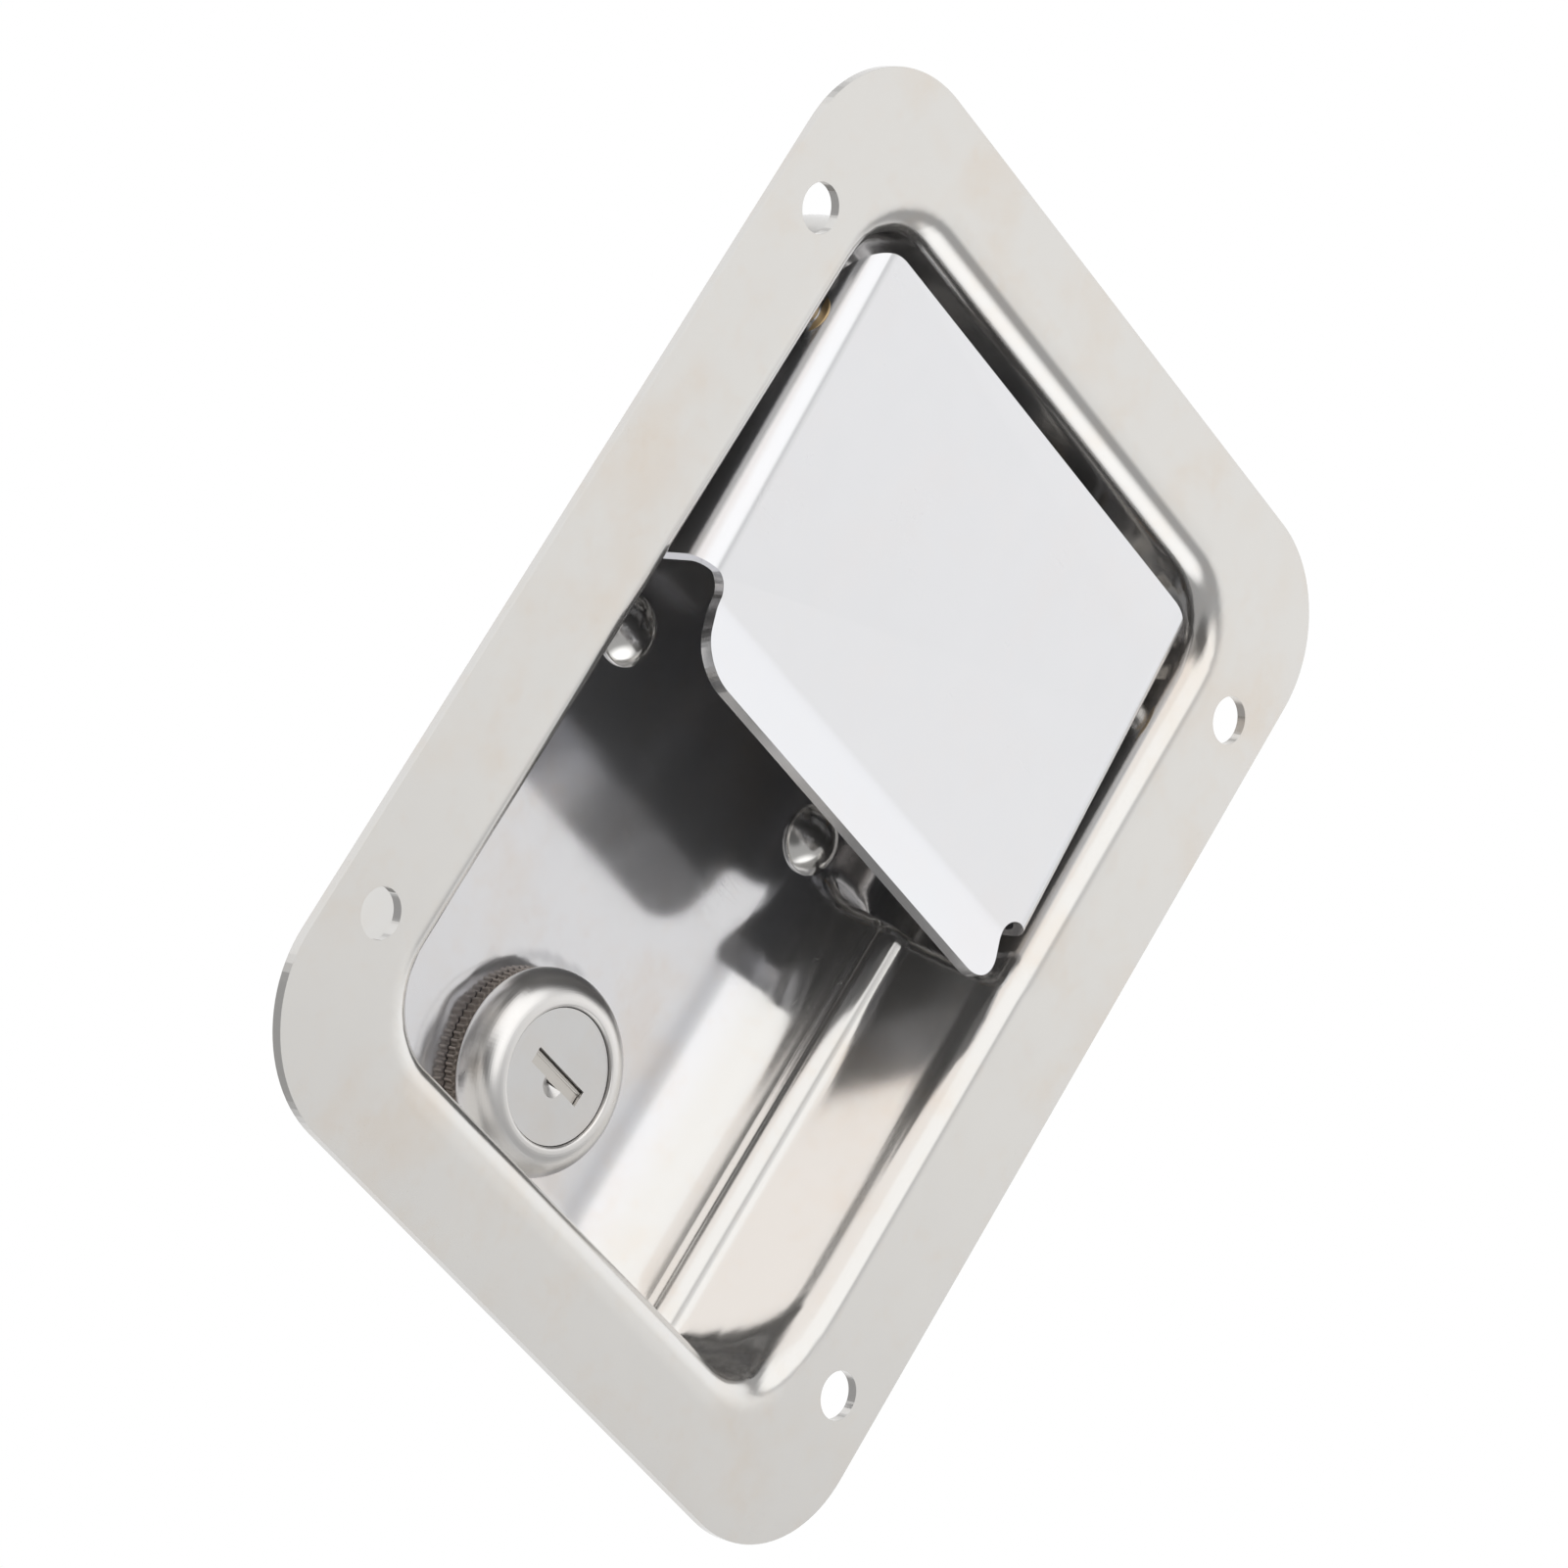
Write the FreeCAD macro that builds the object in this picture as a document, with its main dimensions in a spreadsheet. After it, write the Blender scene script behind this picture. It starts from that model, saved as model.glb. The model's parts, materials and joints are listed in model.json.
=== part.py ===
import FreeCAD, Part
import math
import os

import Sketcher
from FreeCAD import Base

# Frame: the origin is the middle of the flange's back face, which lies on the door panel.
# +X is to the right and +Z up as the latch is seen from the front, and +Y goes into the panel.
# Depths on the front are counted from the flange's front face, in millimetres.

SIZES = {
    # Flange and its holes
    "metal": 1.2,
    "flange_width": 108.0,
    "flange_height": 140.0,
    "flange_corner": 15.5,
    "hole_inset_x": 7.0,
    "hole_inset_z": 22.5,
    "mounting_hole": 5.7,
    # Pressed dish
    "dish_width": 76.0,
    "dish_top": 56.0,
    "dish_bottom": 55.0,
    "dish_corner": 9.0,
    "dish_depth": 22.0,
    "brim_radius": 4.0,
    "floor_radius": 8.3,
    # Raised block in the dish
    "block_left": 22.0,
    "block_length": 55.0,
    "block_depth": 7.0,
    "block_lean": 5.0,
    "lock_seat": 25.2,
    "ridge_radius": 3.5,
    "foot_radius": 2.8,
    # Pivot of the paddle
    "pin_diameter": 4.0,
    "pin_height": 41.0,
    "pin_depth": 4.7,
    "pin_overhang": 2.0,
    "pin_clip_outside": 7.0,
    "pin_clip_float": 0.6,
    "running_gap": 0.05,
    # Paddle, in its own frame with the pin as origin
    "paddle_metal": 1.3,
    "paddle_clearance": 2.0,
    "paddle_lean": 3.5,
    "face_to_pin": 5.2,
    "paddle_above_pin": 11.4,
    "paddle_below_pin": 36.0,
    "paddle_corner": 5.0,
    "flank_depth": 11.0,
    "flank_end": 33.0,
    "flank_bend": 2.5,
    "lip_length": 8.1,
    "lip_angle": 18.5,
    "lip_inset": 5.0,
    "lip_corner": 5.0,
    "lip_bend": 6.0,
    "bush_outside": 6.4,
    "bush_collar": 8.4,
    "bush_collar_thick": 0.8,
    # Driving lever on the back of the paddle
    "lever_width": 8.0,
    "lever_hub": 9.0,
    "lever_past_bolt": 1.8,
    "lever_root": 5.4,
    "lever_tip": 4.0,
    "lever_base": 2.4,
    "lever_base_up": 7.0,
    "lever_base_down": 16.0,
    "lever_play": 0.5,
    # Slam bolt and its housing
    "bolt_width": 25.4,
    "bolt_thick": 8.0,
    "bolt_length": 56.0,
    "bolt_reach": 10.0,
    "bolt_bevel": 11.0,
    "bolt_nose": 2.0,
    "bolt_travel": 11.6,
    "slide_gap": 0.4,
    "housing_metal": 2.0,
    "housing_top": 56.0,
    "housing_bottom": 3.0,
    "foot_width": 11.5,
    "foot_corner": 4.0,
    "rivet_spacing": 40.0,
    "rivet_clearance": 7.1,
    "rivet_high": 42.0,
    "rivet_head": 8.4,
    "rivet_dome": 2.5,
    "rivet_shank": 4.8,
    "rivet_tail": 7.2,
    "rivet_tail_thick": 1.6,
    # Tail rod, its clip and the bolt spring
    "rod_diameter": 4.0,
    "rod_grip": 8.0,
    "rod_tail": 2.6,
    "clip_outside": 8.5,
    "clip_thick": 0.8,
    "spring_wire": 1.1,
    "spring_outside": 8.0,
    "spring_turns": 6.0,
    # Lock
    "lock_drop": 38.9,
    "head_rise": 6.3,
    "plug_face": 15.4,
    "plug_face_thick": 2.4,
    "plug_body": 12.8,
    "head_diameter": 23.6,
    "head_proud": 0.4,
    "head_radius": 3.4,
    "collar_diameter": 22.8,
    "collar_thick": 1.4,
    "collar_teeth": 32.0,
    "barrel_diameter": 19.0,
    "barrel_flats": 16.8,
    "barrel_length": 10.2,
    "washer_diameter": 25.0,
    "washer_thick": 1.2,
    "nut_flats": 24.0,
    "nut_thick": 4.5,
    "ring_gap": 0.1,
    "key_slot_width": 8.9,
    "key_slot_height": 2.0,
    "key_dimple": 3.6,
    "shutter_thick": 0.4,
    "shutter_depth": 0.5,
    "wafer_count": 5.0,
    "wafer_thick": 1.2,
    "wafer_pitch": 2.2,
    "wafer_width": 11.6,
    "wafer_height": 4.8,
    "wafer_start": 4.0,
    "square_shaft": 7.0,
    "shaft_length": 3.2,
    "cam_thick": 2.0,
    "cam_width": 12.0,
    "cam_reach": 21.2,
    "cam_joggle": 6.0,
    "screw_head": 9.0,
    "screw_head_thick": 3.0,
    "screw_diameter": 4.0,
    # Return springs of the paddle
    "return_wire": 1.1,
    "return_coil": 6.6,
    "return_turns": 3.0,
    "return_leg_angle": 60.0,
    "return_start": 5.2,
    "return_pitch": 1.25,
    "return_short_leg": 7.5,
}


class Dim:
    """A size that knows its number and the sheet expression that it comes from."""

    def __init__(self, value, text):
        self.value = value
        self.text = text

    def combined(self, other, sign, result):
        return Dim(result, "(%s %s %s)" % (self.text, sign, other.text))

    def __add__(self, other):
        other = dim(other)
        return self.combined(other, "+", self.value + other.value)

    def __sub__(self, other):
        other = dim(other)
        return self.combined(other, "-", self.value - other.value)

    def __rsub__(self, other):
        return dim(other) - self

    def __mul__(self, other):
        other = dim(other)
        return self.combined(other, "*", self.value * other.value)

    def __truediv__(self, other):
        other = dim(other)
        return self.combined(other, "/", self.value / other.value)

    def __neg__(self):
        return Dim(-self.value, "(-1 * %s)" % self.text)

    __radd__ = __add__
    __rmul__ = __mul__


def dim(number):
    """Makes a plain number a Dim, and leaves a Dim as it is."""
    return number if isinstance(number, Dim) else Dim(float(number), "%.9g" % number)


def sine(angle):
    return Dim(math.sin(math.radians(angle.value)), "sin(%s)" % angle.text)


def cosine(angle):
    return Dim(math.cos(math.radians(angle.value)), "cos(%s)" % angle.text)


doc = FreeCAD.newDocument("paddle_latch")
sheet = doc.addObject("Spreadsheet::Sheet", "Sizes")
for row, (alias, number) in enumerate(SIZES.items(), start=1):
    sheet.set("A%d" % row, alias.replace("_", " "))
    sheet.set("B%d" % row, "%g" % number)
    sheet.setAlias("B%d" % row, alias)
doc.recompute()


class Sheet:
    """The sheet's sizes as attributes."""


size = Sheet()
for alias in SIZES:
    setattr(size, alias, Dim(float(sheet.get(alias)), "Sizes." + alias))

# Levels along Y that several pieces share
FLANGE_FRONT = -size.metal
FLOOR_FRONT = size.dish_depth - size.metal
FLOOR_BACK = FLOOR_FRONT + size.metal
BLOCK_FACE = size.block_depth - size.metal
BOLT_FRONT = FLOOR_BACK + size.slide_gap
BOLT_MIDDLE = BOLT_FRONT + size.bolt_thick / 2
BOLT_BACK = BOLT_FRONT + size.bolt_thick
HOUSING_INSIDE = BOLT_BACK + size.slide_gap
PLUG_FACE_LEVEL = FLOOR_FRONT - size.head_rise
COLLAR_FRONT = FLOOR_FRONT - size.collar_thick
BARREL_END = FLOOR_FRONT + size.barrel_length

# Levels along Z that several pieces share
BLOCK_END = size.block_length - size.dish_bottom
RIVET_LOW = BLOCK_END + size.rivet_clearance
BOLT_TOP = size.flange_height / 2 + size.bolt_reach
BOLT_END = BOLT_TOP - size.bolt_length
TAB_BOTTOM = -size.housing_bottom
TAB_TOP = size.housing_metal - size.housing_bottom
LEVER_ARM = BOLT_MIDDLE - size.pin_depth + size.lever_past_bolt
LEVER_TIP_HEIGHT = size.pin_height - LEVER_ARM * sine(size.paddle_lean)

# Widths and spacings that follow a larger piece
HOLE_SPACING_X = size.flange_width - size.hole_inset_x * 2
HOLE_SPACING_Z = size.flange_height - size.hole_inset_z * 2
PADDLE_WIDTH = size.dish_width - size.paddle_clearance * 2
LIP_WIDTH = PADDLE_WIDTH - size.lip_inset * 2

NODES = []


def bind(thing, **properties):
    """Binds properties of an object to sheet expressions."""
    for name, amount in properties.items():
        thing.setExpression(name, dim(amount).text)


def place(thing, x=0, y=0, z=0):
    """Binds the position of an object, and sets it now."""
    thing.Placement.Base = Base.Vector(dim(x).value, dim(y).value, dim(z).value)
    for axis, amount in (("x", x), ("y", y), ("z", z)):
        thing.setExpression("Placement.Base." + axis, dim(amount).text)


def node(thing, label):
    """Names a finished sub-part and puts it on the list to be written."""
    thing.Label = label
    NODES.append(thing)
    return thing


def new_body(name):
    return doc.addObject("PartDesign::Body", name + "_body")


def sketch_on(body, plane, name, level=0):
    """A sketch on one of the body's origin planes, moved along the plane's normal to a level."""
    sketch = body.newObject("Sketcher::SketchObject", name)
    feature = [item for item in body.Origin.OriginFeatures if item.Role == plane][0]
    sketch.AttachmentSupport = [(feature, "")]
    sketch.MapMode = "FlatFace"
    shift = -dim(level) if plane == "XZ_Plane" else dim(level)
    sketch.AttachmentOffset = FreeCAD.Placement(Base.Vector(0, 0, shift.value), FreeCAD.Rotation())
    sketch.setExpression("AttachmentOffset.Base.z", shift.text)
    return sketch


def hold(sketch, kind, geometry, point, amount):
    """Fixes one coordinate of a sketch point at a distance from the sketch origin."""
    amount = dim(amount)
    if abs(amount.value) < 1e-9:
        on_axis = -2 if kind == "DistanceX" else -1
        sketch.addConstraint(Sketcher.Constraint("PointOnObject", geometry, point, on_axis))
        return
    rule = Sketcher.Constraint(kind, -1, 1, geometry, point, amount.value)
    index = sketch.addConstraint(rule)
    sketch.setExpression("Constraints[%d]" % index, amount.text)


def draw_polygon(sketch, corners):
    """Closed polygon whose corners are held at bound coordinates."""
    points = [Base.Vector(dim(a).value, dim(b).value, 0) for a, b in corners]
    count = len(points)
    first = sketch.GeometryCount
    for k in range(count):
        sketch.addGeometry(Part.LineSegment(points[k], points[(k + 1) % count]), False)
    for k in range(count):
        after = first + (k + 1) % count
        sketch.addConstraint(Sketcher.Constraint("Coincident", first + k, 2, after, 1))
        hold(sketch, "DistanceX", first + k, 1, corners[k][0])
        hold(sketch, "DistanceY", first + k, 1, corners[k][1])


def draw_outline(sketch, corners):
    """Closed outline of level and upright edges, each corner (a, b, radius) round or sharp."""
    count = len(corners)
    spots = [Base.Vector(dim(a).value, dim(b).value, 0) for a, b, radius in corners]
    radii = [dim(radius).value for a, b, radius in corners]
    ways = [(spots[(k + 1) % count] - spots[k]).normalize() for k in range(count)]
    lines = []
    for k in range(count):
        start = spots[k] + ways[k] * radii[k]
        end = spots[(k + 1) % count] - ways[k] * radii[(k + 1) % count]
        lines.append(sketch.addGeometry(Part.LineSegment(start, end), False))
    for k in range(count):
        level = abs(ways[k].y) < 0.5
        sketch.addConstraint(Sketcher.Constraint("Horizontal" if level else "Vertical", lines[k]))
        if level:
            hold(sketch, "DistanceY", lines[k], 1, corners[k][1])
        else:
            hold(sketch, "DistanceX", lines[k], 1, corners[k][0])
    for k in range(count):
        before, after = lines[k - 1], lines[k]
        if radii[k] == 0:
            sketch.addConstraint(Sketcher.Constraint("Coincident", before, 2, after, 1))
            continue
        start = spots[k] - ways[k - 1] * radii[k]
        end = spots[k] + ways[k] * radii[k]
        centre = start + ways[k] * radii[k]
        middle = centre + (spots[k] - centre).normalize() * radii[k]
        arc = sketch.addGeometry(Part.Arc(start, middle, end), False)
        turn = ways[k - 1].cross(ways[k]).z
        first, last = (1, 2) if turn > 0 else (2, 1)
        sketch.addConstraint(Sketcher.Constraint("Tangent", before, 2, arc, first))
        sketch.addConstraint(Sketcher.Constraint("Tangent", arc, last, after, 1))
        index = sketch.addConstraint(Sketcher.Constraint("Radius", arc, radii[k]))
        sketch.setExpression("Constraints[%d]" % index, dim(corners[k][2]).text)


def rectangle(left, right, low, high, radius=0):
    """The four corners of a rectangle for draw_outline, all with one radius."""
    return [(left, low, radius), (right, low, radius), (right, high, radius), (left, high, radius)]


def draw_circle(sketch, a, b, diameter):
    a, b, diameter = dim(a), dim(b), dim(diameter)
    centre = Base.Vector(a.value, b.value, 0)
    circle = sketch.addGeometry(Part.Circle(centre, Base.Vector(0, 0, 1), diameter.value / 2), False)
    hold(sketch, "DistanceX", circle, 3, a)
    hold(sketch, "DistanceY", circle, 3, b)
    index = sketch.addConstraint(Sketcher.Constraint("Diameter", circle, diameter.value))
    sketch.setExpression("Constraints[%d]" % index, diameter.text)


def pad(body, sketch, name, length, both_ways=False, backwards=False):
    """Pads a sketch. On XZ sketches backwards means towards +Y."""
    feature = body.newObject("PartDesign::Pad", name)
    feature.Profile = sketch
    feature.Length = dim(length).value
    bind(feature, Length=length)
    feature.Midplane = both_ways
    feature.Reversed = backwards
    doc.recompute()
    return feature


def pocket(body, sketch, name, length=None, backwards=False, both_ways=False):
    """Pockets a sketch by a length, or right through, and makes sure that it cuts."""
    before = body.Tip.Shape.Volume
    feature = body.newObject("PartDesign::Pocket", name)
    feature.Profile = sketch
    feature.Reversed = backwards
    feature.Midplane = both_ways
    if length is None:
        feature.Type = 1
    else:
        feature.Length = dim(length).value
        bind(feature, Length=length)
    doc.recompute()
    if not feature.Shape.Volume < before - 1e-6:
        raise RuntimeError(name + " cuts nothing")
    return feature


def revolve(body, sketch, name, axis="V_Axis"):
    feature = body.newObject("PartDesign::Revolution", name)
    feature.Profile = sketch
    feature.ReferenceAxis = (sketch, [axis])
    feature.Angle = 360
    doc.recompute()
    return feature


def edges_at(feature, test):
    """Names of the edges whose middle point and bounding box pass a test."""
    names = []
    for index, edge in enumerate(feature.Shape.Edges, start=1):
        middle = edge.valueAt((edge.FirstParameter + edge.LastParameter) / 2)
        if test(middle, edge.BoundBox):
            names.append("Edge%d" % index)
    return names


def edges_by(feature, spots):
    """Names of the edges that pass nearest to the given spots."""
    names = []
    for spot in spots:
        vertex = Part.Vertex(Base.Vector(*[dim(part).value for part in spot]))
        gaps = [edge.distToShape(vertex)[0] for edge in feature.Shape.Edges]
        names.append("Edge%d" % (gaps.index(min(gaps)) + 1))
    return sorted(set(names))


def fillet(body, names, radius, label):
    """Rounds named edges of the body's last feature."""
    base = body.Tip
    feature = body.newObject("PartDesign::Fillet", label)
    feature.Base = (base, names)
    feature.Radius = dim(radius).value
    bind(feature, Radius=radius)
    doc.recompute()
    if "Invalid" in feature.State or feature.Shape.isNull():
        raise RuntimeError(label + " can't be rounded")
    return feature


def same(a, b, within=1e-3):
    return abs(a - dim(b).value) < within


# Turned pieces, whose profile is drawn as radius against distance along their axis

def turned(name, profile, along="Y"):
    """A body revolved about X or Y from corners given as (radius, distance along the axis)."""
    body = new_body(name)
    sketch = sketch_on(body, "XY_Plane", name + "_profile")
    if along == "Y":
        draw_polygon(sketch, profile)
        revolve(body, sketch, name + "_turned", "V_Axis")
    else:
        draw_polygon(sketch, [(distance, radius) for radius, distance in profile])
        revolve(body, sketch, name + "_turned", "H_Axis")
    return body


def ring_profile(inner, outer, start, end):
    return [(inner, start), (outer, start), (outer, end), (inner, end)]


def group(label, members):
    """One sub-part that is a group of separate solids."""
    compound = doc.addObject("Part::Compound", label + "_group")
    compound.Links = members
    return node(compound, label)


def copy_of(body, name, x=0, y=0, z=0, turn=None):
    """A second piece like a finished one, at another place."""
    link = doc.addObject("App::Link", name)
    link.LinkedObject = body
    link.LinkTransform = False
    place(link, x, y, z)
    if turn:
        link.Placement.Rotation = turn
    return link


# Pan: the flange and the pressed dish with its raised block are one sheet

def dish_form(name, skin, start):
    """The dish as a solid, grown outwards by a skin thickness, from a start level to its floor."""
    half = size.dish_width / 2 + skin
    top = size.dish_top + skin
    bottom = -size.dish_bottom - skin
    floor = FLOOR_FRONT + skin
    face = BLOCK_FACE + skin
    left = size.block_left + skin
    end = BLOCK_END - skin

    tub = new_body(name + "_tub")
    sketch = sketch_on(tub, "XZ_Plane", name + "_tub_outline", start)
    draw_outline(sketch, rectangle(-half, half, bottom, top, size.dish_corner + skin))
    feature = pad(tub, sketch, name + "_tub_pad", floor - start, backwards=True)
    rim = edges_at(feature, lambda middle, box: same(box.YMin, floor) and same(box.YMax, floor))
    fillet(tub, rim, size.floor_radius + skin, name + "_tub_floor_radius")
    # Round flat seat for the lock, which reaches into the floor radius
    sketch = sketch_on(tub, "XZ_Plane", name + "_lock_seat", start)
    draw_circle(sketch, 0, -size.lock_drop, size.lock_seat + skin * 2)
    pad(tub, sketch, name + "_lock_seat_pad", floor - start, backwards=True)

    beyond = size.dish_depth + size.floor_radius
    foot = left - size.block_lean / (size.dish_depth - size.block_depth) * (beyond - face)
    reach = half + size.dish_corner
    block = new_body(name + "_block")
    sketch = sketch_on(block, "XY_Plane", name + "_block_profile", end)
    draw_polygon(sketch, [(left, face), (reach, face), (reach, beyond), (foot, beyond)])
    feature = pad(block, sketch, name + "_block_pad", size.block_length * 2, backwards=True)
    middle = (face + beyond) / 2
    spots = [(left, face, end - size.block_length / 2), ((left + reach) / 2, face, end),
             ((left + foot) / 2, middle, end)]
    fillet(block, edges_by(feature, spots), size.ridge_radius - skin, name + "_block_ridge")

    cut = doc.addObject("Part::Cut", name + "_cut")
    cut.Base = tub
    cut.Tool = block
    doc.recompute()

    form = new_body(name + "_form")
    form.BaseFeature = cut
    doc.recompute()
    foot_at_floor = left - size.block_lean * (floor - face) / (size.dish_depth - size.block_depth)
    spot = (foot_at_floor, floor, end - size.block_length / 2)
    fillet(form, edges_by(form.Tip, [spot]), size.foot_radius + skin, name + "_foot_radius")
    return form


def make_pan():
    outside = dish_form("outer", size.metal, dim(0))
    inside = dish_form("inner", dim(0), FLANGE_FRONT)

    flange = new_body("flange")
    half_width = size.flange_width / 2
    half_height = size.flange_height / 2
    sketch = sketch_on(flange, "XZ_Plane", "flange_outline", 0)
    draw_outline(sketch, rectangle(-half_width, half_width, -half_height, half_height, size.flange_corner))
    pad(flange, sketch, "flange_pad", size.metal)

    joined = doc.addObject("Part::Fuse", "flange_and_dish")
    joined.Base = flange
    joined.Tool = outside
    doc.recompute()
    solid = new_body("solid_pan")
    solid.BaseFeature = joined
    doc.recompute()
    half = size.dish_width / 2 + size.metal
    seam = edges_at(solid.Tip, lambda middle, box: same(box.YMin, 0) and same(box.YMax, 0)
                    and abs(middle.x) < half.value + 0.01
                    and -size.dish_bottom.value - size.metal.value - 0.01 < middle.z
                    and middle.z < size.dish_top.value + size.metal.value + 0.01)
    fillet(solid, seam, size.brim_radius - size.metal, "brim_back_radius")

    hollow = doc.addObject("Part::Cut", "hollow_pan")
    hollow.Base = solid
    hollow.Tool = inside
    doc.recompute()
    pan = new_body("pan")
    pan.BaseFeature = hollow
    doc.recompute()
    inner_half = size.dish_width.value / 2
    brim = edges_at(pan.Tip, lambda middle, box: same(box.YMin, FLANGE_FRONT) and same(box.YMax, FLANGE_FRONT)
                    and abs(middle.x) < inner_half + 0.01
                    and -size.dish_bottom.value - 0.01 < middle.z < size.dish_top.value + 0.01)
    fillet(pan, brim, size.brim_radius, "brim_radius")

    sketch = sketch_on(pan, "XZ_Plane", "mounting_holes", 0)
    for side in (-1, 1):
        for end in (-1, 1):
            draw_circle(sketch, HOLE_SPACING_X / 2 * side, HOLE_SPACING_Z / 2 * end,
                        size.mounting_hole)
    pocket(pan, sketch, "mounting_holes_cut", size.metal * 3, both_ways=True)

    sketch = sketch_on(pan, "XZ_Plane", "lever_slot", FLOOR_BACK)
    half_slot = size.lever_width / 2 + size.lever_play * 2.4
    slot_top = LEVER_TIP_HEIGHT + size.lever_root / 2 + size.lever_play * 2
    slot_low = LEVER_TIP_HEIGHT - size.bolt_travel - size.lever_root / 2
    draw_outline(sketch, rectangle(-half_slot, half_slot, slot_low, slot_top, size.lever_play * 4))
    pocket(pan, sketch, "lever_slot_cut", size.metal * 2, both_ways=True)

    sketch = sketch_on(pan, "XZ_Plane", "rivet_holes", FLOOR_BACK)
    for x, z in rivet_places():
        draw_circle(sketch, x, z, size.rivet_shank + size.running_gap * 2)
    pocket(pan, sketch, "rivet_holes_cut", size.metal * 2, both_ways=True)

    sketch = sketch_on(pan, "XZ_Plane", "lock_hole", FLOOR_BACK)
    draw_double_flat(sketch, -size.lock_drop, size.barrel_diameter + size.ring_gap * 2,
                     size.barrel_flats + size.ring_gap * 2)
    pocket(pan, sketch, "lock_hole_cut", size.metal * 2, both_ways=True)

    sketch = sketch_on(pan, "YZ_Plane", "pin_holes", 0)
    draw_circle(sketch, size.pin_depth, size.pin_height, size.pin_diameter + size.running_gap * 2)
    pocket(pan, sketch, "pin_holes_cut", size.flange_width, both_ways=True)
    return node(pan, "pan")


def rivet_places():
    half = size.rivet_spacing / 2
    return [(half * side, height) for height in (RIVET_LOW, size.rivet_high) for side in (-1, 1)]


def draw_double_flat(sketch, height, diameter, flats):
    """A circle with two upright flats, about a point on the middle line."""
    radius = diameter.value / 2
    half = flats.value / 2
    rise = math.sqrt(radius * radius - half * half)
    middle = dim(height).value
    centre = Base.Vector(0, middle, 0)
    angle = math.atan2(rise, half)
    circle = Part.Circle(centre, Base.Vector(0, 0, 1), radius)
    top = sketch.addGeometry(Part.ArcOfCircle(circle, angle, math.pi - angle), False)
    low = sketch.addGeometry(Part.ArcOfCircle(circle, math.pi + angle, 2 * math.pi - angle), False)
    right = sketch.addGeometry(Part.LineSegment(Base.Vector(half, middle - rise, 0),
                                                Base.Vector(half, middle + rise, 0)), False)
    left = sketch.addGeometry(Part.LineSegment(Base.Vector(-half, middle + rise, 0),
                                               Base.Vector(-half, middle - rise, 0)), False)
    rules = [("Coincident", right, 2, top, 1), ("Coincident", top, 2, left, 1),
             ("Coincident", left, 2, low, 1), ("Coincident", low, 2, right, 1),
             ("Coincident", top, 3, low, 3), ("Vertical", right), ("Vertical", left)]
    for rule in rules:
        sketch.addConstraint(Sketcher.Constraint(*rule))
    hold(sketch, "DistanceX", top, 3, 0)
    hold(sketch, "DistanceY", top, 3, height)
    hold(sketch, "DistanceX", right, 1, flats / 2)
    hold(sketch, "DistanceX", left, 1, -flats / 2)
    for arc in (top, low):
        index = sketch.addConstraint(Sketcher.Constraint("Radius", arc, radius))
        sketch.setExpression("Constraints[%d]" % index, (diameter / 2).text)


# Pivot pin with a clip on each end, outside the dish walls

def make_pivot():
    wall = size.dish_width / 2 + size.metal
    half = wall + size.pin_overhang
    chamfer = size.running_gap * 8
    radius = size.pin_diameter / 2
    pin = turned("pivot_pin", [(0, -half), (radius - chamfer, -half), (radius, chamfer - half),
                               (radius, half - chamfer), (radius - chamfer, half), (0, half)], "X")
    place(pin, 0, size.pin_depth, size.pin_height)
    node(pin, "pivot_pin")

    clip = make_clip("pin_clip", radius + size.running_gap, size.pin_clip_outside / 2, "X")
    place(clip, wall + size.pin_clip_float, size.pin_depth, size.pin_height)
    other = copy_of(clip, "left_pin_clip", -wall - size.pin_clip_float - size.clip_thick,
                    size.pin_depth, size.pin_height)
    group("pin_clips", [clip, other])


def make_clip(name, inner, outer, along):
    """A snap ring with an open jaw, its ring starting at its own origin."""
    body = turned(name, ring_profile(inner, outer, dim(0), size.clip_thick), along)
    plane = "YZ_Plane" if along == "X" else "XZ_Plane"
    sketch = sketch_on(body, plane, name + "_jaw", 0)
    draw_outline(sketch, rectangle(-inner * 0.7, inner * 0.7, -outer * 1.2, 0))
    pocket(body, sketch, name + "_jaw_cut", size.clip_thick * 4, both_ways=True)
    return body


# Paddle: face, two flanks and a lip from one sheet, drawn about its pin and leaning with the face

def paddle_placement(thing):
    """Stands a piece that is drawn about the pin at the pin, leaning as the paddle does."""
    place(thing, 0, size.pin_depth, size.pin_height)
    thing.Placement.Rotation = FreeCAD.Rotation(Base.Vector(1, 0, 0), -size.paddle_lean.value)
    thing.setExpression("Placement.Rotation.Axis.x", "1")
    thing.setExpression("Placement.Rotation.Axis.y", "0")
    thing.setExpression("Placement.Rotation.Axis.z", "0")
    thing.setExpression("Placement.Rotation.Angle", (-size.paddle_lean).text)


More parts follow.
